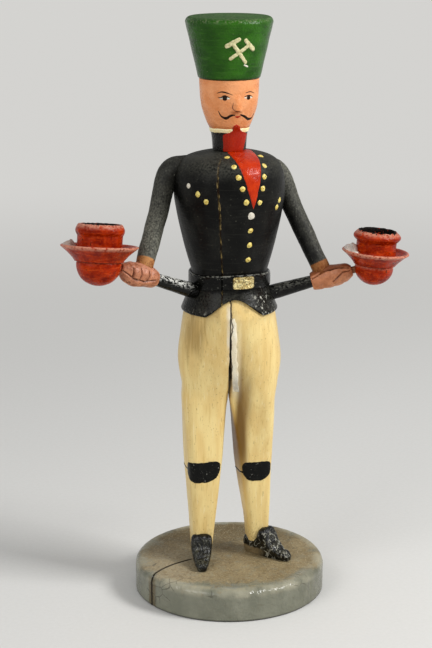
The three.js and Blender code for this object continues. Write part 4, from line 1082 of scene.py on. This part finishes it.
rod_paint = Finish("worn_and_highlit_rod_gloss")
place = rod_paint.place
sideways = place.axis("X")
ripple = place.grain(3.5, detail=4.0)
scratch = place.grain(0.9, (2, 1.2, 1.2), detail=5.0, shift=8)
worn = rod_paint.facing("Z").ramp(-0.15, 0.6) * scratch.ramp(0.44, 0.58)
rod_paint.ground(ripple.ramp(0.4, 0.7), "060605", "141411")
# Pale along the top: worn paint, and on the figure's right rod a near-white painted highlight too.
rod_paint.over(worn * sideways.ramp(-24, -31) * 0.9, "dddcd4")
rod_paint.over(worn * sideways.ramp(20, 30) * 0.3, "8a897e")
rod_paint.over(scratch.ramp(0.68, 0.73) * 0.8, "b4b3a8")
rod_paint.over(sideways.absolute().ramp(68, 69), "7d4a2a")
rod_paint.done(ripple * 0.25 + 0.1, ripple * 0.5 + scratch * 0.15, Specular_IOR_Level=0.18)
for side, sign in SIDES.items():
    piece(f"{side}_black_rod", skin(rod_rings(side, sign)), rod_paint, "belt_paint", f"{side}_rod")

# Hands: carved fists drilled for the rods, the thumb along the top and the fingers curled round in
# front, in flesh paint with painted shade dark brown in the grooves.
HAND_THICKNESS = 12.6
HAND_END_THICKNESS = 9.8
KNUCKLE_HEIGHT = 0.75
THUMB_HEIGHT = 0.8
HEEL_OF_HAND = 1.5
ROD_HOLE_RADIUS = 2.6
CREASE_WIDTH = 0.75
CREASE_DEPTH = 1.2
# Carved lines, each by its distance along the hand and its height round it from the front
HAND_CREASES = {
    "right": (
        ((3, -0.5), (10, -3), (18, -3.2), (25, -1)),
        ((9, -2.5), (8, 1), (9, 4)),
        ((14, -3), (13.5, 0.5), (14.5, 4)),
        ((19, -3), (19, 0), (20, 3)),
        ((18.8, -6), (20.6, -6.6), (19.4, -7.2)),
    ),
    "left": (
        ((1, 3), (8, 5), (16, 5.4), (24, 4.4)),
        ((13, -2.5), (17, 0), (20, 1.8), (24, 1.5)),
    ),
}


def stroke(u, v, path, widths):
    """Distance inside a brush stroke along a path, whose half width changes from point to point."""
    path = np.asarray(path, float)
    best = np.full(u.shape, -9.0)
    for (u0, v0), (u1, v1), w0, w1 in zip(path, path[1:], widths, widths[1:]):
        run = np.array([u1 - u0, v1 - v0])
        share = np.clip(((u - u0) * run[0] + (v - v0) * run[1]) / (run @ run), 0, 1)
        away = np.hypot(u - u0 - share * run[0], v - v0 - share * run[1])
        best = np.maximum(best, mix(w0, w1, share) - away)
    return best


def mark(made, label, values):
    """A value for each point of a piece's rings, for its finish to read."""
    flat = np.concatenate([values.reshape(-1), [values[0].mean(), values[-1].mean()]])
    made.data.attributes.new(label, "FLOAT", "POINT").data.foreach_set("value", flat)


def hand_rings(side, sign):
    share = np.concatenate([[0, 0], np.linspace(0.01, 0.99, 70), [1, 1]])
    around = full_turn(90)
    t, a = np.meshgrid(share, around, indexing="ij")
    front = np.maximum(0, -sign * np.cos(a))
    above = np.maximum(0, np.sin(a))
    below = np.maximum(0, -np.sin(a))
    bulge = np.sin(math.pi * t)
    past = np.clip((t - FIST_ROUNDING_START) / (1 - FIST_ROUNDING_START), 0, 1)
    radius = mix(HAND_END_THICKNESS, HAND_THICKNESS, bulge ** 0.6) / 2 * np.sqrt(1 - 0.6 * past ** 2)
    knuckle = np.abs(np.sin(4 * math.pi * t)) ** 0.6 * bulge
    radius = radius + KNUCKLE_HEIGHT * knuckle * (front * 0.9 + below * 0.5)
    radius = radius + THUMB_HEIGHT * above ** 4 * np.sin(math.pi * np.minimum(1, 1.5 * t))
    from_front = (math.pi + (a if sign < 0 else math.pi - a)) % (2 * math.pi) - math.pi
    rise = from_front * HAND_THICKNESS / 2
    if side == "right":
        radius = radius + HEEL_OF_HAND * hump(rise + 7, 3.2) * ease(t, 0.3, 0.55) * ease(t, 1, 0.85)
    along = t * HAND_LENGTH
    lines = [stroke(along, rise, path, [CREASE_WIDTH] * len(path)) for path in HAND_CREASES[side]]
    crease = np.clip(np.max(lines, axis=0) / CREASE_WIDTH, 0, 1)
    radius = radius - CREASE_DEPTH * crease
    radius[0] = radius[-1] = ROD_HOLE_RADIUS
    start = HAND_REACH[side] / math.cos(ROD_RISE[side])
    rings = np.stack([radius * np.cos(a), radius * np.sin(a), start + along], 2)
    facets = 0.45 * lumps(rings, 3.6, 4.0 * sign)
    rings = rings * (1 + (facets / radius)[..., None] * [1, 1, 0])
    thumb = ease(rise, 4.6, 5.8) * (side == "left")
    return on_rod(side, rings), crease, thumb


flesh = Finish("grimy_flesh_paint")
place = flesh.place
right_hand = place.axis("X").ramp(10, -10)
mottle = place.grain(4.0, detail=5.0)
grime = place.grain(1.4, detail=4.0, shift=6)
flesh.ground(mottle.ramp(0.32, 0.68), "93542f", "c98256")
pink = flesh.facing("Z").ramp(-0.2, 0.7) * 0.4 + right_hand * 0.25
flesh.over(pink * mottle.ramp(0.25, 0.5), "cf8f76")
flesh.over(grime.ramp(0.56, 0.72) * 0.55, "5a2c12")
flesh.over((1 - right_hand) * 0.45, "d98d62")
flesh.over(flesh.attribute("thumb") * mottle.ramp(0.2, 0.4) * 0.85, "7d3f18")
# Painted shade: dark brown in the carved grooves and the small hollow of the right fist.
flesh.over(flesh.attribute("crease") * 0.75, "4a220c")
flesh.done(grime * 0.3 + 0.24, mottle * 0.6 + grime * 0.25, Specular_IOR_Level=0.35)
for side, sign in SIDES.items():
    rings, crease, thumb = hand_rings(side, sign)
    fist = piece(f"{side}_fist", skin(rings), flesh, "hand_paint", f"{side}_hand")
    mark(fist, "crease", crease)
    mark(fist, "thumb", thumb)

# Sleeves: bent arms carved in one piece, glued and dowelled to the shoulder, thinner toward the
# wrist and painted brown there like a cuff. The paint has gone grey with dust.
ARM_SPREAD = {"right": 34.0, "left": 32.4}
ARM_DROP = {"right": 13.8, "left": 17.0}
ARM_BACK = 9.0
ARM_ROOT_REACH = 13.0
ARM_ROOT_RISE = 2.0
ELBOW_SPREAD = {"right": 44.5, "left": 40.2}
ELBOW_DROP = 37.5
ELBOW_FORWARD = 0.5
CUFF_REACH = {"right": 61.5, "left": 58.5}
ARM_RADIUS = 8.0
ELBOW_RADIUS = 6.0
CUFF_RADIUS = 5.5
CUFF_PAINT_REACH = 19
SHOULDER_TOP_Z = 277.0


def cuff_point(side):
    start, _, _, along = rod_frame(side)
    return start + along * CUFF_REACH[side] / math.cos(ROD_RISE[side])


def sleeve_rings(side, sign):
    shoulder = np.array([sign * ARM_SPREAD[side], ARM_BACK, NECK_Z - ARM_DROP[side]])
    root = shoulder + [-sign * ARM_ROOT_REACH, 0, ARM_ROOT_RISE]
    elbow = np.array([sign * ELBOW_SPREAD[side], -ELBOW_FORWARD, NECK_Z - ELBOW_DROP])
    path = curve([root, shoulder, elbow, cuff_point(side)], 26)
    t = np.linspace(0, 1, len(path))
    upper = mix(ARM_RADIUS, ELBOW_RADIUS, ease(t, 0.2, 0.6))
    radius = mix(upper, CUFF_RADIUS, ease(t, 0.6, 1))
    tangent = unit(np.gradient(path, axis=0))
    across = unit(np.cross([0, -1, 0], tangent))
    over = np.cross(tangent, across)
    around = full_turn(56)[None, :, None]
    ring = np.cos(around) * across[:, None] + np.sin(around) * over[:, None]
    rings = path[:, None] + radius[:, None, None] * ring
    carved = 0.35 * lumps(rings * [1, 1, 0.5], 7.0, sign * 2.0) + 0.1 * lumps(rings, 2.0, 9.0)
    rings = rings + ring * carved[..., None]
    least = np.maximum(coat_radius(np.minimum(rings[..., 2], SHOULDER_TOP_Z)) - 0.6, 1)
    return pushed(rings, np.maximum(0, least - axis_distance(rings)))


sleeve_paint = Finish("dusty_sleeve_paint")
place = sleeve_paint.place
cloud = place.grain(9, detail=5.0, shift=4)
spots = place.grain(0.9, (1, 1, 1.5), detail=5.0)
right_arm = place.axis("X").ramp(10, -10)
low = place.axis("Z").ramp(266, 234)
rubbed = 0.49 - low * 0.34 + sleeve_paint.facing("X") * 0.16
settled = right_arm * (low * 0.5 + 0.1) + (1 - right_arm) * rubbed
dust = settled + sleeve_paint.facing("Z") * 0.12 + (cloud - 0.5) * 0.5
dust = dust * spots.ramp(0.2, 0.75)
cuff_brown = (cloud * 0.5 + spots * 0.5).ramp(0.4, 0.6).paint(tint("7c451f"), tint("bd8550"))
cuff_brown = ((1 - right_arm) * 0.6).paint(cuff_brown, tint("70380f"))
wrists = [place.near(cuff_point(side).tolist(), [CUFF_PAINT_REACH] * 3) for side in SIDES]
cuff = sum(wrist.ramp(0.3, 0.36) for wrist in wrists)
sleeve_paint.ground(cloud.ramp(0.35, 0.7), "11110f", "1c1c18")
sleeve_paint.over(dust, "8b8a7c")
sleeve_paint.over(spots.ramp(0.66, 0.73) * 0.35, "a3a192")
sleeve_paint.colour = cuff.paint(sleeve_paint.colour, cuff_brown)
sleeve_paint.done(dust * 0.3 + 0.55, spots * 0.18 + cloud * 0.4, Specular_IOR_Level=0.2)
for side, sign in SIDES.items():
    arm = skin(sleeve_rings(side, sign))
    piece(f"{side}_dusty_sleeve", arm, sleeve_paint, "coat_paint", f"{side}_sleeve")

# Candle cups: a turned bowl on the end of each rod, a drip saucer on the bowl and a ringed socket on
# the saucer, in thick red paint rubbed pale at the rims and burnt black round the bore.
SAUCER_RADIUS = {"right": 22.75, "left": 20.35}
SAUCER_DEPTH = {"right": 9.4, "left": 8.4}
SAUCER_FLARE = 0.8
SAUCER_LIP = 1.1
DISH_DEPTH = 2.4
BOWL_DEPTH = {"right": 14.0, "left": 12.6}
BOWL_LIP = 1.1
BOWL_RIM = 2.0
SOCKET_NECK = {"right": 13.2, "left": 12.1}
SOCKET_TOP = 12.3
SOCKET_SEAT = GLUE_GAP - DISH_DEPTH
SOCKET_FOOT_FLARE = 0.5
SOCKET_FOOT_HEIGHT = 2.5
SPIGOT_HOLE = 4.3
RING_RADIUS = 14.4
RING_LOW = 5.7
RING_HEIGHT = 6.1
BORE_RADIUS = 10.5
BORE_FLOOR = -0.2
ROD_HOLE_DROP = 3.0
CUP_LEAN = {"right": (5.0, 7.6), "left": (5.0, 0.5)}
CUP_ANGLES = full_turn(120, 360)


def on_cup(side, points):
    """Points from the middle of a saucer's rim, put where the cup stands and leaned with it."""
    start, _, _, along = rod_frame(side)
    axis = unit(np.array([*np.tan(np.radians(CUP_LEAN[side])), 1.0]))
    out = unit(along - axis * (along @ axis))
    middle = start + along * tenon_end(side) + out * (BOWL_RADIUS[side] - TENON_DEPTH)
    middle = middle + axis * (SAUCER_DEPTH[side] + ROD_HOLE_DROP)
    lean = np.array(Vector((0, 0, 1)).rotation_difference(Vector(axis)).to_matrix())
    return middle + points @ lean.T


def wobble(rings, amount, size, shift):
    """Turned rings pushed in and out a little, as hand-painted wood is."""
    return pushed(rings, amount * lumps(rings, size, shift))


def dish(share):
    """Height inside the saucer, from its foot at 0 to its rim at 1."""
    return np.interp(share, [0, 0.55, 1], [-DISH_DEPTH, -0.75 * DISH_DEPTH, 0])


def saucer_profile(side):
    rim = SAUCER_RADIUS[side]
    depth = SAUCER_DEPTH[side]
    foot = BOWL_RADIUS[side] + BOWL_LIP
    t = np.linspace(0, 1, 24) ** 1.5
    outside = zip(mix(foot, rim, t), mix(-depth, -SAUCER_LIP, t ** SAUCER_FLARE))
    lip = [(rim + 0.1, -0.75), (rim - 0.1, -0.4), (rim - 0.45, -0.12), (rim - SAUCER_LIP, 0)]
    t = np.linspace(0.1, 1, 10)
    within = zip(mix(rim - SAUCER_LIP, foot, t), dish(1 - t))
    return [(SPIGOT_HOLE, -depth), *outside, *lip, *within, (SPIGOT_HOLE, -DISH_DEPTH)]


def socket_profile(side):
    neck = SOCKET_NECK[side]
    t = np.linspace(0, 1, 6)
    foot = zip(neck + SOCKET_FOOT_FLARE * (1 - t) ** 2, SOCKET_SEAT + SOCKET_FOOT_HEIGHT * t)
    t = np.linspace(0, 1, 15)
    ring = zip(neck + (RING_RADIUS - neck) * np.sin(math.pi * t), RING_LOW + RING_HEIGHT * t)
    mouth = [(neck - 0.5, SOCKET_TOP), (mix(neck, BORE_RADIUS, 0.5), SOCKET_TOP + 0.05)]
    mouth += [(BORE_RADIUS + 0.5, SOCKET_TOP)]
    bore = [(BORE_RADIUS, z) for z in np.linspace(SOCKET_TOP - 0.5, BORE_FLOOR + 0.3, 12)]
    floor = [(9.6, BORE_FLOOR), (2, BORE_FLOOR)]
    return [(2, SOCKET_SEAT), *foot, (neck, 2), (neck, 4.5), *ring, *mouth, *bore, *floor]


def bowl_profile(side):
    top = -SAUCER_DEPTH[side] - GLUE_GAP
    radius = BOWL_RADIUS[side]
    bend = np.linspace(0.12, math.pi / 2, 22)
    round_part = top - BOWL_RIM - (BOWL_DEPTH[side] - BOWL_RIM) * np.cos(bend)
    return [*zip(radius * np.sin(bend), round_part), (radius, top - 0.6), (radius - 0.4, top), (2, top)]


cup_paint = Finish("burnt_red_paint")
place = cup_paint.place
shade = place.grain(6, detail=5.0)
rub = place.grain(1.5, detail=5.0, shift=4)
spots = place.grain(0.9, shift=13)
lathe = place.grain(1.1, (6, 6, 1), shift=8)
cup_paint.ground(shade.ramp(0.3, 0.7), "7a1200", "ae2d02")
cup_paint.over(rub.ramp(0.5, 0.7) * 0.4, "cc4a14")
cup_paint.over(spots.ramp(0.64, 0.74) * 0.5, "4a0f03")
cup_paint.over(lathe.ramp(0.52, 0.7) * 0.4, "d9541a")
cup_paint.over(lathe.ramp(0.44, 0.3) * 0.35, "5e0e00")
cup_paint.over(cup_paint.attribute("rim_wear") * rub.ramp(0.3, 0.56) * 0.9, "cf8d74")
burnt = cup_paint.attribute("soot") + (shade - 0.5) * 1.4 + (rub - 0.5) * 2.4
burnt = burnt.ramp(0.5, 0.66)
cup_paint.over(burnt, "120b08")
bumps = shade * 0.7 + rub * 0.3 + burnt * spots * 0.8
cup_paint.done(rub * 0.3 + burnt * 0.4 + 0.08, bumps, Specular_IOR_Level=0.1)


def cup_piece(side, name, node, rings, wear, soot):
    """A cup piece with its rubbed and burnt parts marked point by point."""
    solid = skin(on_cup(side, rings))
    made = piece(f"{side}_{name}", solid, cup_paint, "cup_paint", f"{side}_{node}")
    mark(made, "rim_wear", wear)
    mark(made, "soot", soot)


for side, sign in SIDES.items():
    rim = SAUCER_RADIUS[side]
    rings = turned(saucer_profile(side), CUP_ANGLES)
    height = rings[..., 2]
    reach = axis_distance(rings)
    chips = 0.5 * np.maximum(0, lumps(rings, 3.0, 7.0 + sign) - 0.25) * ease(reach, rim - 2, rim - 0.3)
    wear = ease(reach, rim - 2.4, rim - 0.2)
    soot = 0.25 * ease(height, -3.0, -1.5) * ease(reach, rim - 0.8, rim - 5)
    made = wobble(rings, 0.22, 5.0, sign)
    made[..., 2] -= chips
    cup_piece(side, "red_saucer", "drip_saucer", made, wear, soot)

    rings = turned(socket_profile(side), CUP_ANGLES)
    height = rings[..., 2]
    reach = axis_distance(rings)
    ragged = 0.7 * lumps(rings, 2.6, 3.0 * sign) * ease(height, SOCKET_TOP - 0.8, SOCKET_TOP)
    wear = ease(height, RING_LOW + 3.2, RING_LOW + 6.2)
    bore = ease(reach, BORE_RADIUS + 1.6, BORE_RADIUS + 0.2)
    soot = bore * (0.75 * ease(height, 2, 9) + 0.35) + 0.3 * ease(height, 10.5, 12)
    made = wobble(rings, 0.3, 4.0, 3.0 * sign)
    made[..., 2] -= np.abs(ragged)
    cup_piece(side, "red_socket", "candle_socket", made, wear, np.clip(soot, 0, 1))

    rings = turned(bowl_profile(side), CUP_ANGLES)
    wear = 0.4 * (rings[..., 2] > -10)
    cup_piece(side, "red_bowl", "cup_bowl", wobble(rings, 0.3, 6.0, 5.0 * sign), wear, 0 * wear)

# Wax: old drips of candle wax that have run down and set as lumps on the saucers, dull and dusty,
# and browner on the figure's right.
WAX_TURN = -106.0
# Each drop: angle from the middle of the drip, radius, size and height
WAX_DROPS = {
    "right": ((-4, 17.8, 4.2, 4.6), (20, 17.0, 2.4, 1.6), (-28, 18.0, 2.2, 1.4)),
    "left": ((10, 15.6, 5.4, 6.0), (-12, 16.2, 4.2, 4.2), (36, 15.8, 3.0, 2.4)),
}

wax = Finish("old_wax")
place = wax.place
bloom = place.grain(2.5, detail=4.0)
grit = place.grain(0.8, shift=2)
wax.ground(bloom.ramp(0.3, 0.7), "cdb9ab", "f0e6dc")
browner = bloom.ramp(0.3, 0.7).paint(tint("9a7c6c"), tint("bda698"))
wax.colour = (place.axis("X").ramp(10, -10) * 0.75).paint(wax.colour, browner)
wax.over(grit.ramp(0.64, 0.74) * 0.5, "7d5c4c")
wax.done(bloom * 0.3 + 0.3, bloom * 0.8 + grit * 0.2)
wax.set(Subsurface_Weight=0.15, Subsurface_Radius=(0.002, 0.0012, 0.0008))


def wax_drip(side):
    foot = BOWL_RADIUS[side] + BOWL_LIP
    share = np.linspace(1.0, 0.0, 44)
    profile = np.stack([mix(foot, SAUCER_RADIUS[side] - SAUCER_LIP, share), dish(share)], 1)
    grid = turned(profile, np.linspace(WAX_TURN - 60, WAX_TURN + 60, 110))
    solids = []
    for turn, reach, size, height in WAX_DROPS[side]:
        middle = turned([(reach, -1.5)], [WAX_TURN + turn])[0, 0]
        away = np.linalg.norm(grid - middle, axis=2) + 0.9 * lumps(grid, 2.4, reach)
        points, faces = film(grid, size - away, height, size)
        solids.append((on_cup(side, points), faces))
    return together(solids)


for side in SIDES:
    piece(f"{side}_wax_drip", wax_drip(side), wax, "filler")

# Head: turned from neck to brow with a carved nose, in satin flesh paint. The neck below the collar
# is black like the coat, with the red of the waistcoat in front.
HEAD_Z = 279.8
HEAD_HEIGHT = 42.4
COLLAR_Z = 291.6
NOSE_TIP = 25.0
NOSE_LENGTH = 9.0
NOSE_HALF_WIDTH = 2.6
NOSE_HEIGHT = 2.4
NOSE_SHADE_AT = (-1, -19, 303)
NOSE_SHADE_REACH = (5, 9, 3)
FACE_POINTS = ((10, 0), (11, 10.5), (13.9, 17.6), (16.9, 27.5), (17.9, HEAD_HEIGHT))
FACE = curve(FACE_POINTS, 24, even=True)


def face_points(heights, turns):
    """Grid of points on the head at heights above its foot, with the nose standing out in front."""
    height, turn = np.meshgrid(heights, turns, indexing="ij")
    radius = np.interp(height, FACE[:, 1], FACE[:, 0])
    above = (height - NOSE_TIP) / NOSE_LENGTH
    bridge = np.where(above > 0, np.clip(1 - above, 0, 1) ** 0.8, np.clip(1 + 5 * above, 0, 1))
    angle = np.radians(turn)
    front = hump(radius * np.sin(angle), NOSE_HALF_WIDTH) * (np.cos(angle) > 0)
    return around_axis(radius + NOSE_HEIGHT * bridge * front, turn, height + HEAD_Z), height, turn


def head_rings():
    turns = np.concatenate([np.linspace(-45, 45, 91), np.arange(48, 314, 3.0)])
    return wobble(face_points(np.linspace(0, HEAD_HEIGHT, 124), turns)[0], 0.1, 5.0, 2.0)


face_paint = Finish("satin_flesh_paint")
place = face_paint.place
height = place.axis("Z")
blush = place.grain(7, detail=4.0)
pores = place.grain(1.0, detail=4.0, shift=5)
face_paint.ground(blush.ramp(0.3, 0.7), "e08a50", "f2a56f")
face_paint.over(place.near(NOSE_SHADE_AT, NOSE_SHADE_REACH) * 0.6, "a0502a")
face_paint.over(pores.ramp(0.62, 0.74) * 0.4, "9a5428")
# Painted shade: the flesh is darker under the chin, just above the collar.
face_paint.over(height.ramp(296, 292.5) * 0.8, "b5642f")
black = blush.ramp(0.4, 0.7).paint(tint("0d0a06"), tint("221a10"))
below = height.ramp(COLLAR_Z + 0.2, COLLAR_Z - 0.2)
face_paint.colour = below.paint(face_paint.colour, black)
satin = pores * 0.25 + blush * 0.1 + 0.1
face_paint.done(satin, pores * 0.35 + blush * 0.9, Specular_IOR_Level=0.3)
piece("painted_head", skin(head_rings()), face_paint, "face_paint", "head")

# Collar and neckcloth: a raised white band of paint round the neck, with the red cloth's wedge below
# it and the tip of its knot over it.
COLLAR_HALF_WIDTH = 1.25
NECK_RADIUS = 11.0
KNOT_Z = (279, 289.6, 290.8, 292.4, 294.4, 295.4, 296.0)
KNOT_HALF_ANGLE = (36, 45, 27, 14, 10.5, 7, 1)


def collar_band():
    rows = COLLAR_Z - HEAD_Z + np.linspace(-2.4, 2.6, 26)
    grid, height, turn = face_points(rows, np.linspace(-183, 183, 220))
    rise = 0.5 * np.cos(np.radians(turn)) + 0.25 * lumps(grid, 3.0)
    return film(grid, COLLAR_HALF_WIDTH - np.abs(height + HEAD_Z - COLLAR_Z - rise), 0.45, 0.6)


def neckcloth():
    grid, height, turn = face_points(np.linspace(0, 16.5, 80), np.linspace(-44, 66, 130))
    up = height + HEAD_Z
    half = np.interp(up, KNOT_Z, KNOT_HALF_ANGLE)
    middle = np.interp(up, [279, 290, 296], [-1, 9, 2])
    inside = np.radians(half - np.abs(turn - middle)) * NECK_RADIUS + 0.2 * lumps(grid, 2.0)
    return film(grid, np.minimum(inside, height + 1.0), 0.7, 0.7)


white = daub("white_collar_paint", 2.5, (0.3, 0.7), "ffe6a4", "fff8cc", 0.4, detail=4.0)
piece("white_collar", collar_band(), white, "filler")
piece("red_neckcloth", neckcloth(), red_gloss, "cup_paint")

# Painted face: brows, lids, pupils, moustache, eye whites, mouth and the shade line of the nose,
# drawn with a fine brush in brown black, white, red and brown.
EYE_Z = 312.0
EYE_TURN = 24.6
FACE_RADIUS = 17.0


def face_strokes(strokes, rise=0.16):
    """Films for brush strokes on the face; each stroke is a path of (angle, height) and half widths."""
    solids = []
    scale = np.radians(1) * FACE_RADIUS
    for path, widths in strokes:
        path = np.asarray(path, float)
        turns = np.linspace(path[:, 0].min() - 6, path[:, 0].max() + 6, 120)
        heights = np.linspace(path[:, 1].min() - 2, path[:, 1].max() + 2, 60) - HEAD_Z
        grid, height, turn = face_points(heights, turns)
        track = curve(path * [scale, 1], 6) if len(path) > 2 else path * [scale, 1]
        width = np.interp(np.linspace(0, 1, len(track)), np.linspace(0, 1, len(widths)), widths)
        solids.append(film(grid, stroke(turn * scale, height + HEAD_Z, track, width), rise, 0.3))
    return together(solids)


def across_eyes(half_angle, widths):
    """A level stroke across each eye."""
    middles = (-EYE_TURN, EYE_TURN)
    return [(((m - half_angle, EYE_Z), (m + half_angle, EYE_Z)), widths) for m in middles]


brows = [(((-40, 314.9), (-30, 315.8), (-21, 315.3), (-9, 314.0)), (0.15, 0.36, 0.34, 0.18))]
brows += [(((17, 314.9), (27.5, 315.4), (42, 314.2)), (0.15, 0.28, 0.12))]
lids = [(((-38, 312.6), (-33, 312.3), (-25, 313.5), (-15, 312.4)), (0.12, 0.32, 0.34, 0.2))]
lids += [(((15, 312.7), (24.5, 313.4), (36, 312.4)), (0.2, 0.32, 0.15))]
right_curl = ((-3.5, 302.0), (-12, 301.7), (-23, 300.1), (-33.5, 301.2), (-39, 304.2))
left_curl = ((9.5, 302.1), (20, 300.9), (34, 299.0), (49, 299.3), (54.5, 301.8))
moustache = [(curl, (0.35, 0.75, 0.85, 0.5, 0.2)) for curl in (right_curl, left_curl)]
dark_strokes = brows + lids + across_eyes(0.5, (1.25, 1.25)) + moustache
nose_path = ((-7.5, 309.5), (-9.6, 306.6), (-6.5, 305.2), (-1, 304.3), (4, 304.6))
mouth = [(((-2.5, 301.0), (3, 300.7), (8.5, 301.2)), (0.3, 0.6, 0.3))]
edges = (0.45, 0.75)
lines = daub("brown_black_lines", 1.2, edges, "1a0d04", "3f230d", 0.2, Specular_IOR_Level=0.15)
piece("face_lines", face_strokes(dark_strokes), lines, "shoe_paint")
piece("eye_whites", face_strokes(across_eyes(8.5, (0.45, 1.15, 0.45)), 0.1), chalk, "filler")
piece("red_mouth", face_strokes(mouth), red_gloss, "cup_paint")
brown = daub("thin_brown_lines", 1.0, (0.4, 0.7), "6e3714", "9c5a30", 0.2)
nose_line = face_strokes([(nose_path, (0.1, 0.3, 0.2, 0.35, 0.2))], 0.1)
piece("nose_lines", nose_line, brown, "hand_paint")

# Hat: a shaft hat turned as a cone that widens upward, its top edge rounded, in green paint that is
# pale at the edge, from scuffs and a painted highlight, and darker where the brush left it thick.
HAT_Z = 322.5
HAT_HEIGHT = 36.6
HAT_FOOT_RADIUS = 18.6
HAT_FOOT_BEVEL = 0.5
HAT_TOP_RADIUS = 26.0
HAT_EDGE_Z = HAT_Z + 32.6
HAT_EDGE_RADIUS = 3.2
HAT_CROWN_DROP = 0.8


def hat_radius(height):
    foot = HAT_Z + HAT_FOOT_BEVEL
    return mix(HAT_FOOT_RADIUS, HAT_TOP_RADIUS, (height - foot) / (HAT_EDGE_Z - foot))


def hat_rings():
    levels = np.linspace(HAT_Z + HAT_FOOT_BEVEL, HAT_EDGE_Z, 50)
    edge = rounded(HAT_TOP_RADIUS, HAT_EDGE_Z + HAT_EDGE_RADIUS, HAT_EDGE_RADIUS, 12)[1:]
    flat = HAT_TOP_RADIUS - HAT_EDGE_RADIUS
    radii = np.linspace(21.5, 1, 16)
    crown = zip(radii, HAT_Z + HAT_HEIGHT - HAT_CROWN_DROP * (radii / flat) ** 2)
    foot = [(1, HAT_Z), (HAT_FOOT_RADIUS - HAT_FOOT_BEVEL, HAT_Z)]
    profile = [*foot, *zip(hat_radius(levels), levels), *edge, *crown]
    return wobble(turned(profile, full_turn(160, 360)), 0.13, 6.0, 8.0)


hat_paint = Finish("satin_green_paint")
place = hat_paint.place
height = place.axis("Z")
sideways = place.axis("X")
patch = place.grain(8, (1.6, 1.6, 1), detail=5.0)
brush = place.grain(1.2, (6, 6, 1), detail=4.0, shift=3)
nick = place.grain(1.4, detail=4.0, shift=9)
crown = hat_paint.facing("Z").ramp(0.6, 0.95)
edge = height.ramp(HAT_EDGE_Z - 0.5, HAT_EDGE_Z + 2.6)
hat_paint.ground(patch.ramp(0.3, 0.7), "1c4a04", "316812")
# Painted shade: the green is darker toward both flanks, most toward the figure's right.
hat_paint.over((sideways.ramp(2, -24) + sideways.ramp(10, 26)) * 0.5, "153c02")
hat_paint.over(brush.ramp(0.55, 0.75) * 0.4, "437426")
hat_paint.over(brush.ramp(0.42, 0.28) * 0.4, "123303")
# Pale at the top edge: scuffed paint and a painted highlight.
hat_paint.over(edge * nick.ramp(0.45, 0.65) * 0.6, "7f8a63")
hat_paint.over(nick.ramp(0.7, 0.76) * 0.6, "93996f")
hat_paint.over(height.ramp(HAT_Z + 1.6, HAT_Z) * 0.6, "14240a")
hat_paint.over(crown * 0.6, "35502a")
bumps = brush * 0.3 + nick * 0.5 + patch * 0.9
hat_paint.done(brush * 0.2 + crown * 0.5 + 0.1, bumps, Specular_IOR_Level=0.18)
piece("green_hat", skin(hat_rings()), hat_paint, "hat_paint", "hat")

# Emblem: the miner's crossed hammers on the front of the hat, in thick cream paint, and a chip below
# them that shows the white ground.
EMBLEM_STROKES = (
    (((-7.8, 342.8), (-1.1, 346.6)), (1.35, 1.2)),
    (((-4.4, 344.2), (3.9, 333.2)), (1.0, 1.05)),
    (((3.2, 346.0), (8.4, 340.8)), (1.1, 1.35)),
    (((5.6, 343.2), (-5.2, 335.4)), (1.0, 1.05)),
)
CHIP_STROKES = ((((3.5, 331.4), (5.5, 330.6)), (0.5, 0.4)),)


def hat_film(strokes, rise):
    """A film of brush strokes on the hat's front, in mm round it from the middle and height."""
    height, turn = np.meshgrid(np.linspace(328, 350, 170), np.linspace(-30, 30, 190), indexing="ij")
    grid = around_axis(hat_radius(height), turn, height)
    across = np.radians(turn) * hat_radius(height)
    inside = np.max([stroke(across, height, path, widths) for path, widths in strokes], axis=0)
    return film(grid, inside + 0.22 * lumps(grid, 1.5), rise, 0.6)


green_through = (0.64, 0.76, "6d7440")
edges = (0.3, 0.62)
cream = daub("thick_cream_paint", 1.6, edges, "b9b078", "e2dbaa", 0.6, green_through, detail=4.0)
piece("crossed_hammers", hat_film(EMBLEM_STROKES, 0.5), cream, "trouser_paint")
piece("hat_chip", hat_film(CHIP_STROKES, 0.2), chalk, "filler")

# Dowels: birch pins that join feet, hips, shoulders, neck and hat, hidden in the finished figure and
# left bare.
birch = Finish("bare_birch")
rings = birch.place.grain(1.2, (1, 1, 12), detail=4.0)
birch.ground(rings.ramp(0.3, 0.7), "b08a58", "d6b684")
birch.done(rings * 0.2 + 0.55, rings * 0.2)
joints = [f"{side}_{joint}" for side in SIDES for joint in ("foot", "hip", "shoulder")]
for joint in [*joints, "neck", "hat"]:
    bpy.data.objects[f"{joint}_dowel"].data.materials[0] = birch.material

# Sizes: the box round the finished figure.
low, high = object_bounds()
